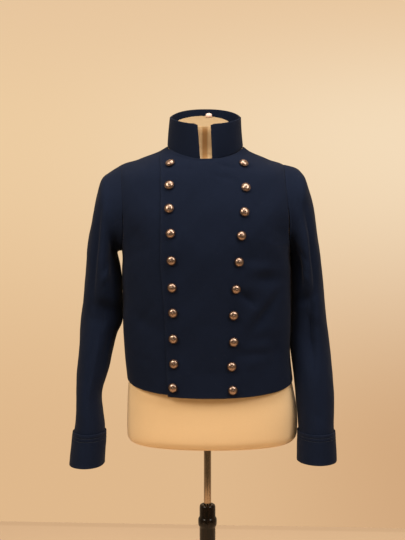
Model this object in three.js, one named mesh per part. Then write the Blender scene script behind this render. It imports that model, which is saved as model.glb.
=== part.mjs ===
// A waist-length double-breasted stable jacket with a stand collar, worn by a limbless dress form
// on a turned wooden stand. Millimetres, +Z up, front towards -Y. The origin is on the floor under
// the pole. Left and right are the wearer's own, so the right side lies towards -X.
import * as THREE from 'three';

// Cloth and the gaps that part its pieces
const CLOTH = 2.0;
const COLLAR_CLOTH = 3.0;
const CUFF_CLOTH = 2.5;
const SEAM_GAP = 0.3;
const LAP_GAP = 0.4;
const CUFF_GAP = 0.5;
const SLEEVE_CLEARANCE = 2.0;
const PUSH_HEIGHT = 90;

// The lapped fronts: the left one lies over the right one
const LAP_LIFT = CLOTH + LAP_GAP;
const LAP_FADE = 50;
const LAP_RISE = 1.8;
const LAP_LEAN = 0.9;
const UNDERLAP_HEM = 0.05;

// Armholes: they run from the underarm row of the body table to a little above its shoulder row
const UNDERARM = 5;
const SHOULDER_POINT = 7.3;
const ARMHOLE_MIDDLE = (UNDERARM + SHOULDER_POINT) / 2;
const ARMHOLE_REACH = (SHOULDER_POINT - UNDERARM) / 2;
const NECK = 10;
const ARMHOLE_STEPS = 10;
const ARMHOLE_FRONT = THREE.MathUtils.degToRad(32);
const ARMHOLE_BACK = THREE.MathUtils.degToRad(32);
const QUARTER = Math.PI / 2;

// How finely each panel is divided
const LOWER_ROWS = 12;
const SHOULDER_ROWS = 5;
const SIDE_COLUMNS = 8;
const LAP_COLUMNS = 9;
const BACK_COLUMNS = 16;
const FORM_COLUMNS = 28;

// Rings of the jacket body, hem to neck seam: heights at front, side and back, half width, depth to
// front and back, centre X, roundness of the ring, how its height bends, and the X of both laps
const bodyRings = [
  { zFront: 951, zSide: 978, zBack: 980, half: 181, front: 121, back: 100, mid: 5.5, shape: 2.3,
    bend: 1.0, edge: -83, under: 70 },
  { zFront: 1015, zSide: 1032, zBack: 1034, half: 181.2, front: 122, back: 98, mid: 0, shape: 2.3,
    bend: 1.0, edge: -85.5, under: 75 },
  { zFront: 1085, zSide: 1092, zBack: 1094, half: 183.4, front: 126, back: 101, mid: -1.4, shape: 2.3,
    bend: 1.0, edge: -88, under: 78 },
  { zFront: 1150, zSide: 1152, zBack: 1153, half: 185, front: 131, back: 106, mid: -1.4, shape: 2.3,
    bend: 1.0, edge: -91, under: 80 },
  { zFront: 1215, zSide: 1212, zBack: 1212, half: 185, front: 135, back: 112, mid: -2.2, shape: 2.35,
    bend: 1.0, edge: -97, under: 80 },
  { zFront: 1268, zSide: 1255, zBack: 1262, half: 184.5, front: 136, back: 118, mid: -3, shape: 2.4,
    bend: 1.1, edge: -97.5, under: 80 },
  { zFront: 1335, zSide: 1345, zBack: 1340, half: 203, front: 126, back: 122, mid: -4, shape: 2.35,
    bend: 1.05, edge: -97.5, under: 80 },
  { zFront: 1395, zSide: 1432, zBack: 1405, half: 190, front: 108, back: 116, mid: -10, shape: 2.1,
    bend: 0.9, edge: -98.5, under: 78 },
  { zFront: 1425, zSide: 1456, zBack: 1452, half: 142, front: 96, back: 100, mid: -9, shape: 2.0,
    bend: 1.15, edge: -99.5, under: 70 },
  { zFront: 1440, zSide: 1472, zBack: 1485, half: 102, front: 87, back: 84, mid: -7, shape: 2.0,
    bend: 1.35, edge: -100.5, under: 50 },
  { zFront: 1448, zSide: 1484, zBack: 1503, half: 83.5, front: 80, back: 70, mid: -5, shape: 2.0,
    bend: 1.35, edge: -79, under: 20 },
];

// Folds of the body: a soft trough or ridge between two points, seen from the front or the back
const bodyFolds = [
  { face: 'front', x1: 72.6, z1: 1173, x2: 108, z2: 1147, depth: -3, width: 14 },
  { face: 'front', x1: 139, z1: 1138, x2: 97, z2: 1096, depth: -3.5, width: 16 },
  { face: 'front', x1: 73, z1: 1073, x2: 156, z2: 1073, depth: -1.8, width: 12 },
  { face: 'front', x1: 148, z1: 1071, x2: 148, z2: 1028, depth: -2, width: 13 },
  { face: 'front', x1: 156, z1: 1310, x2: 156, z2: 1269, depth: -3, width: 16 },
  { face: 'front', x1: 60, z1: 1246, x2: 130, z2: 1246, depth: -2, width: 22 },
  { face: 'front', x1: 87, z1: 1197, x2: 160, z2: 1194, depth: -3.2, width: 15 },
  { face: 'front', x1: -150, z1: 1120, x2: -108, z2: 1092, depth: -2.5, width: 15 },
  { face: 'front', x1: -158, z1: 1308, x2: -158, z2: 1268, depth: -2.5, width: 16 },
  { face: 'back', x1: -135, z1: 1300, x2: -128, z2: 1190, depth: -3, width: 18 },
  { face: 'back', x1: 128, z1: 1305, x2: 122, z2: 1200, depth: -3, width: 18 },
  { face: 'back', x1: -110, z1: 1118, x2: -30, z2: 1098, depth: -2.5, width: 16 },
  { face: 'back', x1: 40, z1: 1104, x2: 118, z2: 1122, depth: -2.5, width: 16 },
];

// Sleeve rings below the armhole, as X and Z of the outer and the inner side, the Y of their middle
// and the half depth. X is counted outwards, away from the body. The last ring is the cuff's foot.
const rightSleeveRings = [
  { outerX: 216, outerZ: 1427, innerX: 195, innerZ: 1254, middle: 2, depth: 72 },
  { outerX: 231, outerZ: 1414, innerX: 199, innerZ: 1250, middle: 2, depth: 73 },
  { outerX: 239.5, outerZ: 1388, innerX: 199.5, innerZ: 1243, middle: 2, depth: 74 },
  { outerX: 248, outerZ: 1352, innerX: 196.5, innerZ: 1232, middle: 3, depth: 76 },
  { outerX: 256, outerZ: 1308, innerX: 192.5, innerZ: 1216, middle: 4, depth: 77 },
  { outerX: 264.4, outerZ: 1254, innerX: 189, innerZ: 1196, middle: 6, depth: 78 },
  { outerX: 269, outerZ: 1197, innerX: 188, innerZ: 1162, middle: 8, depth: 76 },
  { outerX: 276, outerZ: 1121, innerX: 187, innerZ: 1105, middle: 6, depth: 68 },
  { outerX: 280, outerZ: 1074, innerX: 200, innerZ: 1068, middle: 0, depth: 63 },
  { outerX: 283, outerZ: 1006, innerX: 214, innerZ: 1006, middle: -14, depth: 58 },
  { outerX: 284, outerZ: 946, innerX: 229, innerZ: 946, middle: -28, depth: 55 },
  { outerX: 285, outerZ: 877, innerX: 222, innerZ: 877, middle: -42, depth: 52 },
  { outerX: 294, outerZ: 801, innerX: 223, innerZ: 801, middle: -52, depth: 53 },
];
const leftSleeveRings = [
  { outerX: 194, outerZ: 1437, innerX: 176, innerZ: 1250, middle: 2, depth: 72 },
  { outerX: 207, outerZ: 1427, innerX: 178, innerZ: 1243, middle: 2, depth: 73 },
  { outerX: 216, outerZ: 1411, innerX: 180, innerZ: 1234, middle: 2, depth: 74 },
  { outerX: 226, outerZ: 1376, innerX: 181, innerZ: 1222, middle: 3, depth: 76 },
  { outerX: 235, outerZ: 1335, innerX: 182, innerZ: 1208, middle: 4, depth: 77 },
  { outerX: 244, outerZ: 1273, innerX: 183, innerZ: 1190, middle: 6, depth: 78 },
  { outerX: 251, outerZ: 1215, innerX: 184, innerZ: 1160, middle: 8, depth: 76 },
  { outerX: 260, outerZ: 1125, innerX: 183, innerZ: 1105, middle: 6, depth: 70 },
  { outerX: 266, outerZ: 1060, innerX: 181, innerZ: 1058, middle: 0, depth: 65 },
  { outerX: 272, outerZ: 1000, innerX: 185.5, innerZ: 1000, middle: -14, depth: 60 },
  { outerX: 273, outerZ: 945, innerX: 191, innerZ: 945, middle: -28, depth: 57 },
  { outerX: 272, outerZ: 877, innerX: 195, innerZ: 877, middle: -42, depth: 54 },
  { outerX: 272.4, outerZ: 808, innerX: 194.5, innerZ: 808, middle: -52, depth: 54 },
];

// Folds along the sleeves: a trough or ridge between two places, each the angle round the sleeve in
// degrees (0 outside, 90 front, 180 towards the body) and a height
const rightSleeveFolds = [
  { angle1: 62, z1: 1355, angle2: 66, z2: 1146, depth: -4, width: 13 },
  { angle1: 138, z1: 1262, angle2: 132, z2: 1170, depth: -7, width: 20 },
  { angle1: 92, z1: 1290, angle2: 96, z2: 1180, depth: 2.5, width: 14 },
  { angle1: 60, z1: 1118, angle2: 118, z2: 1092, depth: -3, width: 13 },
  { angle1: 70, z1: 1125, angle2: 150, z2: 1112, depth: -9, width: 24 },
  { angle1: 96, z1: 1206, angle2: 112, z2: 1192, depth: 4, width: 20 },
  { angle1: 270, z1: 1330, angle2: 285, z2: 1180, depth: -4, width: 16 },
  { angle1: 240, z1: 1120, angle2: 300, z2: 1095, depth: -3, width: 14 },
];
const leftSleeveFolds = [
  { angle1: 66, z1: 1350, angle2: 68, z2: 1170, depth: -5, width: 13 },
  { angle1: 84, z1: 1160, angle2: 95, z2: 1050, depth: -2.5, width: 13 },
  { angle1: 138, z1: 1262, angle2: 130, z2: 1170, depth: -7, width: 20 },
  { angle1: 92, z1: 1295, angle2: 98, z2: 1180, depth: 2.5, width: 14 },
  { angle1: 118, z1: 1116, angle2: 62, z2: 1086, depth: -3, width: 13 },
  { angle1: 112, z1: 1140, angle2: 104, z2: 1020, depth: -8, width: 22 },
  { angle1: 98, z1: 1206, angle2: 110, z2: 1194, depth: 3, width: 18 },
  { angle1: 275, z1: 1335, angle2: 262, z2: 1180, depth: -4, width: 16 },
  { angle1: 240, z1: 1118, angle2: 300, z2: 1090, depth: -3, width: 14 },
];

// Sleeve rows: where along the ring table each row of points lies. The cuff covers the last ones.
const sleeveRows = [0, 0.45, 1, 1.5, 2, 3, 3.5, 4, 4.5, 5, 5.5, 6, 6.5, 7, 7.35, 7.7, 8, 8.5, 9, 9.5, 10,
  11, 12];
const CUFF_TOP = 12.1;
const CUFF_MIDDLE = 12.55;
const SLEEVE_END = 12.97;
const CUFF_FOOT = 13;
const SLEEVE_COLUMNS = 2 * ARMHOLE_STEPS;
const ARMHOLE_FADE = 3;

// Each sleeve is cut in two: the top sleeve runs round the outside from the back seam's column to the
// front seam's, and the under sleeve round the side towards the body
const FRONT_SEAM = 6;
const BACK_SEAM = 14;

// Stand collar
const COLLAR_ROWS = 5;
const COLLAR_COLUMNS = 26;
const COLLAR_CORNER = 2.5;
const collarTop = { zFront: 1524, zSide: 1549, zBack: 1574, half: 78, front: 84, back: 63, mid: -4.4,
  shape: 2.35, bend: 1.35 };
const collarSlot = { foot: { right: -16, left: 9.5 }, top: { right: -21.5, left: 6.3 } };

// Buttons: X and Z of each one's middle, from the top down
const rightButtons = [
  { x: -78, z: 1440.5 },
  { x: -79.5, z: 1393 },
  { x: -79.4, z: 1344 },
  { x: -75.8, z: 1292.5 },
  { x: -74, z: 1237 },
  { x: -72.5, z: 1181 },
  { x: -71, z: 1129 },
  { x: -70.3, z: 1075 },
  { x: -69.5, z: 1022.7 },
  { x: -71, z: 973.3 },
];
const leftButtons = [
  { x: 75.5, z: 1440.5 },
  { x: 78.8, z: 1388.3 },
  { x: 75, z: 1337 },
  { x: 68.5, z: 1287.8 },
  { x: 63.4, z: 1234 },
  { x: 57, z: 1178.3 },
  { x: 52.6, z: 1124 },
  { x: 52.4, z: 1068.8 },
  { x: 49, z: 1017.8 },
  { x: 51, z: 968.8 },
];
const BUTTON_SEGMENTS = 10;
const buttonProfile = [
  { r: 0, h: 0 },
  { r: 2.5, h: 0 },
  { r: 2.5, h: 1.7 },
  { r: 10.2, h: 2.4 },
  { r: 10.2, h: 3.3 },
  { r: 8.6, h: 4.9 },
  { r: 5.4, h: 7.1 },
  { r: 0, h: 8.1 },
];

// Dress form below the chest, from its flat underside up, and its neck above the jacket's neck seam
const formHips = [
  { zFront: 836, zSide: 836, zBack: 836, half: 150, front: 80, back: 70, mid: 9, shape: 2.2, bend: 1 },
  { zFront: 838, zSide: 838, zBack: 838, half: 170, front: 97, back: 84, mid: 9, shape: 2.2, bend: 1 },
  { zFront: 845, zSide: 845, zBack: 845, half: 181, front: 103, back: 89, mid: 9, shape: 2.2, bend: 1 },
  { zFront: 860, zSide: 860, zBack: 860, half: 186, front: 107, back: 92, mid: 10, shape: 2.2, bend: 1 },
  { zFront: 905, zSide: 905, zBack: 905, half: 186, front: 109, back: 93, mid: 10, shape: 2.2, bend: 1 },
  { zFront: 950, zSide: 950, zBack: 950, half: 181.5, front: 110, back: 93, mid: 7, shape: 2.2, bend: 1 },
  { zFront: 995, zSide: 995, zBack: 995, half: 175.5, front: 110, back: 91, mid: 4, shape: 2.2, bend: 1 },
  { zFront: 1055, zSide: 1055, zBack: 1055, half: 174, front: 111, back: 89, mid: 0, shape: 2.2, bend: 1 },
  { zFront: 1130, zSide: 1130, zBack: 1130, half: 175, front: 117, back: 96, mid: 0, shape: 2.2, bend: 1 },
  { zFront: 1200, zSide: 1200, zBack: 1200, half: 176, front: 124, back: 102, mid: -2, shape: 2.3, bend: 1 },
];
const formNeck = [
  { zFront: 1458, zSide: 1493, zBack: 1511, half: 66, front: 71, back: 57, mid: -8, shape: 2, bend: 1.2 },
  { zFront: 1474, zSide: 1506, zBack: 1521, half: 60, front: 68.5, back: 53, mid: -10, shape: 2, bend: 1.1 },
  { zFront: 1498, zSide: 1520, zBack: 1538, half: 58.5, front: 68, back: 52, mid: -11, shape: 2, bend: 1 },
  { zFront: 1517, zSide: 1534, zBack: 1552, half: 58.5, front: 68, back: 52, mid: -11, shape: 2, bend: 1 },
  { zFront: 1521, zSide: 1537.5, zBack: 1555.5, half: 56, front: 65, back: 50, mid: -11, shape: 2,
    bend: 1 },
  { zFront: 1525, zSide: 1539, zBack: 1556, half: 46, front: 53, back: 41, mid: -11, shape: 2, bend: 1 },
];
const SHOULDER_EASE = 0.8;
const FACE_EASE = 3.0;
const CHEST_EASE = 7.5;
const KNOB_X = 3;
const KNOB_Y = 30;
const KNOB_GAP = 1.1;
const knobProfile = [
  { r: 0, h: 0 },
  { r: 6, h: 0 },
  { r: 7, h: 1.5 },
  { r: 7, h: 4.5 },
  { r: 5.2, h: 7 },
  { r: 0, h: 8 },
];

// Stand: a steel rod in a turned pole on a round base
const ROD_RADIUS = 8;
const ROD_FOOT = 640;
const ROD_TOP = 835.7;
const POLE_RADIUS = 17.5;
const POLE_TOP = 697;
const BASE_RADIUS = 200;
const BASE_HEIGHT = 28;
const STAND_SEGMENTS = 24;
const FIT_GAP = 0.3;

const materials = {
  wool: { color: 0x181e2c, roughness: 0.92, metalness: 0 },
  copper: { color: 0xb4785a, roughness: 0.28, metalness: 1 },
  jersey: { color: 0xe6c49a, roughness: 0.85, metalness: 0 },
  knob: { color: 0xd9a08c, roughness: 0.6, metalness: 0 },
  chrome: { color: 0xc8c4bc, roughness: 0.2, metalness: 1 },
  lacquer: { color: 0x20100b, roughness: 0.25, metalness: 0 },
};

// Numbers from a to b in even steps, both ends with them
function spread(a, b, steps) {
  return Array.from({ length: steps + 1 }, (_, i) => a + ((b - a) * i) / steps);
}

// A row of a table read between its rows, by a smooth curve through each column
function tableAt(table, t) {
  const last = table.length - 1;
  const i = Math.min(Math.max(Math.floor(t), 0), last - 1);
  const u = t - i;
  const row = {};
  for (const name of Object.keys(table[0])) {
    const b = table[i][name];
    const c = table[i + 1][name];
    const a = i > 0 ? table[i - 1][name] : 2 * b - c;
    const d = i + 2 <= last ? table[i + 2][name] : 2 * c - b;
    const slope = (c - a) / 2;
    const bow = a - 2.5 * b + 2 * c - d / 2;
    const twist = (d - a) / 2 + 1.5 * (b - c);
    row[name] = b + slope * u + bow * u * u + twist * u * u * u;
  }
  return row;
}

function mixRows(first, second, share) {
  const row = {};
  for (const name of Object.keys(second)) {
    row[name] = first[name] + (second[name] - first[name]) * share;
  }
  return row;
}

// A point of a ring: angle 0 is the middle of the front and a quarter turn the left side
function ringPoint(row, angle) {
  const sine = Math.sin(angle);
  const cosine = Math.cos(angle);
  const facing = cosine > 0;
  const across = Math.sign(sine) * Math.abs(sine) ** (2 / row.shape);
  const along = Math.abs(cosine) ** (2 / row.shape);
  const end = facing ? row.zFront : row.zBack;
  return new THREE.Vector3(
    row.mid + row.half * across,
    facing ? -row.front * along : row.back * along,
    row.zSide + (end - row.zSide) * along ** row.bend,
  );
}

// The angle at which the front of a ring has the given X
function angleAtX(row, x) {
  const across = THREE.MathUtils.clamp((x - row.mid) / row.half, -1, 1);
  return Math.asin(Math.sign(across) * Math.abs(across) ** (row.shape / 2));
}

// The normal of a surface that a function of two parameters gives
function normalOf(surface, u, v, stepU, stepV) {
  const alongU = surface(u + stepU, v).sub(surface(u - stepU, v));
  const alongV = surface(u, v + stepV).sub(surface(u, v - stepV));
  return alongV.cross(alongU).normalize();
}

// How deep a fold is at a distance from its line, and at a share of the way along it
function foldDepth(fold, distance, share) {
  const across = Math.exp(-((distance / fold.width) ** 2));
  return fold.depth * across * (0.35 + 0.65 * Math.sin(Math.PI * share));
}

// Distance of a flat point to a fold's line, and the share of the way along it
function nearLine(x, y, x1, y1, x2, y2) {
  const dx = x2 - x1;
  const dy = y2 - y1;
  const along = ((x - x1) * dx + (y - y1) * dy) / (dx * dx + dy * dy);
  const share = THREE.MathUtils.clamp(along, 0, 1);
  return { distance: Math.hypot(x - x1 - dx * share, y - y1 - dy * share), share };
}

// The body surface, plain and then with its folds
function plainBody(t, angle) {
  return ringPoint(tableAt(bodyRings, t), angle);
}

function bodyFoldAt(point) {
  const face = point.y < 0 ? 'front' : 'back';
  const nearSide = THREE.MathUtils.smoothstep(Math.abs(point.y), 5, 45);
  let sum = 0;
  for (const fold of bodyFolds.filter((item) => item.face === face)) {
    const near = nearLine(point.x, point.z, fold.x1, fold.z1, fold.x2, fold.z2);
    sum += foldDepth(fold, near.distance, near.share);
  }
  return sum * nearSide;
}

function bodyPoint(t, angle) {
  const point = plainBody(t, angle);
  const normal = normalOf(plainBody, t, angle, 0.01, 0.02);
  return point.addScaledVector(normal, bodyFoldAt(point));
}

function bodyNormal(t, angle) {
  return normalOf(bodyPoint, t, angle, 0.02, 0.03);
}

// How far the armhole's front or back edge, or the seam above and below it, lies from the middle
function sideAngle(t, bulge) {
  const inside = Math.max(0, 1 - ((t - ARMHOLE_MIDDLE) / ARMHOLE_REACH) ** 2);
  return QUARTER - bulge * Math.sqrt(inside);
}

// The row of the body table that the armhole passes at a turn of its outline, 0 at the underarm
function armholeRow(turn) {
  return ARMHOLE_MIDDLE - ARMHOLE_REACH * Math.cos(turn);
}

const isSeamRow = (t) => t <= UNDERARM || t >= SHOULDER_POINT;

const bodyRows = [
  ...spread(0, UNDERARM, LOWER_ROWS),
  ...spread(0, Math.PI, ARMHOLE_STEPS).slice(1, -1).map(armholeRow),
  ...spread(SHOULDER_POINT, NECK, SHOULDER_ROWS),
];

// Angles of a row of the fronts, from the right side by both laps to the left side
function frontAngles(t) {
  const row = tableAt(bodyRings, t);
  const side = sideAngle(t, ARMHOLE_FRONT);
  const edge = angleAtX(row, row.edge);
  const under = angleAtX(row, row.under);
  return {
    right: spread(-side, edge, SIDE_COLUMNS),
    lap: spread(edge, under, LAP_COLUMNS),
    left: spread(under, side, SIDE_COLUMNS),
  };
}

// How far the left front stands off the body surface
function lapLift(t, x) {
  const under = tableAt(bodyRings, t).under;
  return LAP_LIFT * (1 - THREE.MathUtils.smoothstep(x, under, under + LAP_FADE));
}

// The free top edge of the left front rises and leans a little outside the collar
function lapTop(t, angle) {
  const high = THREE.MathUtils.smoothstep(t, 9.4, NECK);
  const free = 1 - THREE.MathUtils.smoothstep(angle, 0.1, 0.4);
  return high * free;
}

// Outer and inner point of a panel
function wallPair(t, angle, lift, thickness) {
  const normal = bodyNormal(t, angle);
  const point = bodyPoint(t, angle);
  return {
    outer: point.clone().addScaledVector(normal, lift),
    inner: point.clone().addScaledVector(normal, lift - thickness),
  };
}

function seamShift(pair, shift) {
  pair.outer.y += shift;
  pair.inner.y += shift;
}

function leftFrontPair(t, angle) {
  const pair = wallPair(t, angle, lapLift(t, plainBody(t, angle).x), CLOTH);
  const top = lapTop(t, angle);
  for (const point of [pair.outer, pair.inner]) {
    const radial = new THREE.Vector3(point.x, point.y, 0).normalize();
    point.addScaledVector(radial, LAP_LEAN * top);
    point.z += LAP_RISE * top;
  }
  return pair;
}

function leftFrontGrid() {
  return bodyRows.map((t) => {
    const angles = frontAngles(t);
    const row = [...angles.lap, ...angles.left.slice(1)].map((angle) => leftFrontPair(t, angle));
    if (isSeamRow(t)) {
      seamShift(row.at(-1), -SEAM_GAP / 2);
    }
    return row;
  });
}

function rightFrontGrid() {
  return bodyRows.map((t) => {
    const reach = Math.max(t, UNDERLAP_HEM);
    const angles = frontAngles(reach);
    const row = [...angles.right, ...angles.lap.slice(1)].map((angle) => wallPair(reach, angle, 0, CLOTH));
    if (isSeamRow(t)) {
      seamShift(row[0], -SEAM_GAP / 2);
    }
    return row;
  });
}

function backGrid() {
  return bodyRows.map((t) => {
    const side = Math.PI - sideAngle(t, ARMHOLE_BACK);
    const angles = spread(side, 2 * Math.PI - side, BACK_COLUMNS);
    const row = angles.map((angle) => wallPair(t, angle, 0, CLOTH));
    if (isSeamRow(t)) {
      seamShift(row[0], SEAM_GAP / 2);
      seamShift(row.at(-1), SEAM_GAP / 2);
    }
    return row;
  });
}

// A closed mesh from points and faces, with its faces turned outwards
function solidGeometry(points, faces) {
  let volume = 0;
  for (const [a, b, c] of faces) {
    volume += points[a].dot(points[b].clone().cross(points[c]));
  }
  const turned = volume < 0 ? faces.map(([a, b, c]) => [a, c, b]) : faces;
  const geometry = new THREE.BufferGeometry();
  geometry.setAttribute('position', new THREE.Float32BufferAttribute(points.flatMap((p) => p.toArray()), 3));
  geometry.setIndex(turned.flat());
  return geometry;
}

// A wall from a grid of outer and inner points. A closed one runs round a tube.
function wallGeometry(grid, closed) {
  const rows = grid.length;
  const columns = grid[0].length;
  const points = [...grid.flat().map((pair) => pair.outer), ...grid.flat().map((pair) => pair.inner)];
  const outer = (r, c) => r * columns + (c % columns);
  const inner = (r, c) => rows * columns + outer(r, c);
  const faces = [];
  const quad = (a, b, c, d) => faces.push([a, b, c], [a, c, d]);
  const steps = closed ? columns : columns - 1;
  for (let c = 0; c < steps; c += 1) {
    for (let r = 0; r < rows - 1; r += 1) {
      quad(outer(r, c), outer(r, c + 1), outer(r + 1, c + 1), outer(r + 1, c));
      quad(inner(r, c), inner(r + 1, c), inner(r + 1, c + 1), inner(r, c + 1));
    }
    quad(outer(0, c), inner(0, c), inner(0, c + 1), outer(0, c + 1));
    quad(outer(rows - 1, c), outer(rows - 1, c + 1), inner(rows - 1, c + 1), inner(rows - 1, c));
  }
  if (!closed) {
    for (let r = 0; r < rows - 1; r += 1) {
      quad(outer(r, 0), outer(r + 1, 0), inner(r + 1, 0), inner(r, 0));
      quad(outer(r, steps), inner(r, steps), inner(r + 1, steps), outer(r + 1, steps));
    }
  }
  return solidGeometry(points, faces);
}

// A closed body from rings, with a flat cap at each end
function ringsGeometry(rings) {
  const columns = rings[0].length;
  const points = rings.flat();
  const at = (r, c) => r * columns + (c % columns);
  const faces = [];
  for (let r = 0; r < rings.length - 1; r += 1) {
    for (let c = 0; c < columns; c += 1) {
      faces.push([at(r, c), at(r, c + 1), at(r + 1, c + 1)], [at(r, c), at(r + 1, c + 1), at(r + 1, c)]);
    }
  }
  for (const r of [0, rings.length - 1]) {
    const middle = points.length;
    const sum = rings[r].reduce((total, point) => total.add(point), new THREE.Vector3());
    points.push(sum.divideScalar(columns));
    for (let c = 0; c < columns; c += 1) {
      faces.push(r === 0 ? [middle, at(r, c + 1), at(r, c)] : [middle, at(r, c), at(r, c + 1)]);
    }
  }
  return solidGeometry(points, faces);
}

// Points round the armhole of one side: from the shoulder down the front to the underarm and back up
function armholePoint(side, step) {
  const down = step <= ARMHOLE_STEPS;
  const turn = (Math.PI * Math.abs(ARMHOLE_STEPS - step)) / ARMHOLE_STEPS;
  const t = armholeRow(turn);
  const bulge = Math.sin(turn);
  const angle = QUARTER + (down ? -ARMHOLE_FRONT : ARMHOLE_BACK) * bulge;
  return bodyPoint(t, side * angle);
}

// The body's X, counted outwards on one side, at a given Y and Z
function bodySide(side, y, z) {
  let t = 4;
  let point = new THREE.Vector3();
  for (let turn = 0; turn < 6; turn += 1) {
    const row = tableAt(bodyRings, t);
    const depth = y < 0 ? row.front : row.back;
    const share = THREE.MathUtils.clamp(Math.abs(y) / depth, 0, 1) ** (row.shape / 2);
    const angle = y < 0 ? Math.acos(share) : Math.PI - Math.acos(share);
    point = ringPoint(row, side * angle);
    const above = tableAt(bodyRings, t + 0.1);
    const climb = (ringPoint(above, side * angle).z - point.z) / 0.1;
    t = THREE.MathUtils.clamp(t + (z - point.z) / climb, 0, SHOULDER_POINT);
  }
  return side * point.x;
}

// One sleeve as a function of its place along the rings and the angle round it
function makeSleeve(side, rings, folds) {
  const shoulder = bodyPoint(SHOULDER_POINT, side * QUARTER);
  const underarm = bodyPoint(UNDERARM, side * QUARTER);
  const armhole = {
    outerX: side * shoulder.x,
    outerZ: shoulder.z,
    innerX: side * underarm.x,
    innerZ: underarm.z,
    middle: 0,
    depth: 74,
  };
  const table = [armhole, ...rings];
  const stepAngle = Math.PI / ARMHOLE_STEPS;

  function ellipse(s, angle) {
    const row = tableAt(table, s);
    const share = (1 + Math.cos(angle)) / 2;
    return new THREE.Vector3(
      side * (row.innerX + (row.outerX - row.innerX) * share),
      row.middle - row.depth * Math.sin(angle),
      row.innerZ + (row.outerZ - row.innerZ) * share,
    );
  }

  // The armhole's own outline, less the plain ellipse, between its points
  const outline = spread(0, SLEEVE_COLUMNS, SLEEVE_COLUMNS).map((step) => {
    const point = armholePoint(side, step % SLEEVE_COLUMNS);
    return point.sub(ellipse(0, step * stepAngle));
  });

  function outlineAt(angle) {
    const turns = angle / stepAngle;
    const place = ((turns % SLEEVE_COLUMNS) + SLEEVE_COLUMNS) % SLEEVE_COLUMNS;
    const i = Math.floor(place);
    return outline[i].clone().lerp(outline[i + 1], place - i);
  }

  function plain(s, angle) {
    const fade = 1 - THREE.MathUtils.smoothstep(s, 0, ARMHOLE_FADE);
    return ellipse(s, angle).addScaledVector(outlineAt(angle), fade);
  }

  function foldAt(s, angle, point) {
    const row = tableAt(table, s);
    const radius = (row.depth + Math.abs(row.outerX - row.innerX) / 2) / 2;
    const degrees = THREE.MathUtils.radToDeg(angle);
    const arc = THREE.MathUtils.degToRad(radius);
    let sum = 0;
    for (const fold of folds) {
      const near = nearLine(degrees * arc, point.z, fold.angle1 * arc, fold.z1, fold.angle2 * arc, fold.z2);
      sum += foldDepth(fold, near.distance, near.share);
    }
    return sum * THREE.MathUtils.smoothstep(s, 0.5, 2);
  }

  function surface(s, angle) {
    const point = plain(s, angle);
    const normal = normalOf(plain, s, angle, 0.02, 0.05).multiplyScalar(side);
    point.addScaledVector(normal, foldAt(s, angle, point));
    if (point.z < underarm.z + PUSH_HEIGHT && Math.cos(angle) < 0.3) {
      const least = bodySide(side, point.y, point.z) + SLEEVE_CLEARANCE * Math.min(1, s * 2);
      point.x = side * Math.max(side * point.x, least);
    }
    return point;
  }

  function pair(s, angle, lift, thickness) {
    const normal = normalOf(surface, s, angle, 0.03, 0.06).multiplyScalar(side);
    const point = surface(s, angle);
    if (s === 0) {
      const centre = shoulder.clone().add(underarm).divideScalar(2);
      const inwards = centre.sub(point).setX(0).normalize();
      point.addScaledVector(inwards, SEAM_GAP);
      point.x += side * SEAM_GAP * (2 + 0.3 * Math.cos(angle));
    }
    return {
      outer: point.clone().addScaledVector(normal, lift),
      inner: point.clone().addScaledVector(normal, lift - thickness),
    };
  }

  return { pair, surface, stepAngle };
}

// Half the seam's gap, square to the seam that runs along the sleeve, towards the piece's next column
function halfGap(sleeve, s, angle, edge, next) {
  const along = sleeve.surface(s + 0.05, angle).sub(sleeve.surface(Math.max(s - 0.05, 0), angle));
  const across = edge.outer.clone().sub(edge.inner);
  const inwards = next.outer.clone().sub(edge.outer).projectOnPlane(along).projectOnPlane(across);
  return inwards.setLength(SEAM_GAP / 2);
}

// One cut piece of a sleeve, between two seams
function sleeveGeometry(sleeve, first, last) {
  const rows = [...sleeveRows, CUFF_TOP, CUFF_MIDDLE, SLEEVE_END];
  const angles = spread(first, last, last - first).map((step) => step * sleeve.stepAngle);
  const grid = rows.map((s) => {
    const row = angles.map((angle) => sleeve.pair(s, angle, 0, CLOTH));
    const ends = [[angles[0], row[0], row[1]], [angles.at(-1), row.at(-1), row.at(-2)]];
    for (const [angle, edge, next] of ends) {
      const shift = halfGap(sleeve, s, angle, edge, next);
      edge.outer.add(shift);
      edge.inner.add(shift);
    }
    return row;
  });
  return wallGeometry(grid, false);
}

// The cuff is turned up: the end of the sleeve moved out
function cuffGeometry(sleeve) {
  const lift = CUFF_GAP + CUFF_CLOTH;
  const rows = [CUFF_TOP, CUFF_MIDDLE, CUFF_FOOT];
  const steps = spread(0, SLEEVE_COLUMNS - 1, SLEEVE_COLUMNS - 1);
  const grid = rows.map((s) => steps.map((step) => sleeve.pair(s, step * sleeve.stepAngle, lift, CUFF_CLOTH)));
  return wallGeometry(grid, true);
}

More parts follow.
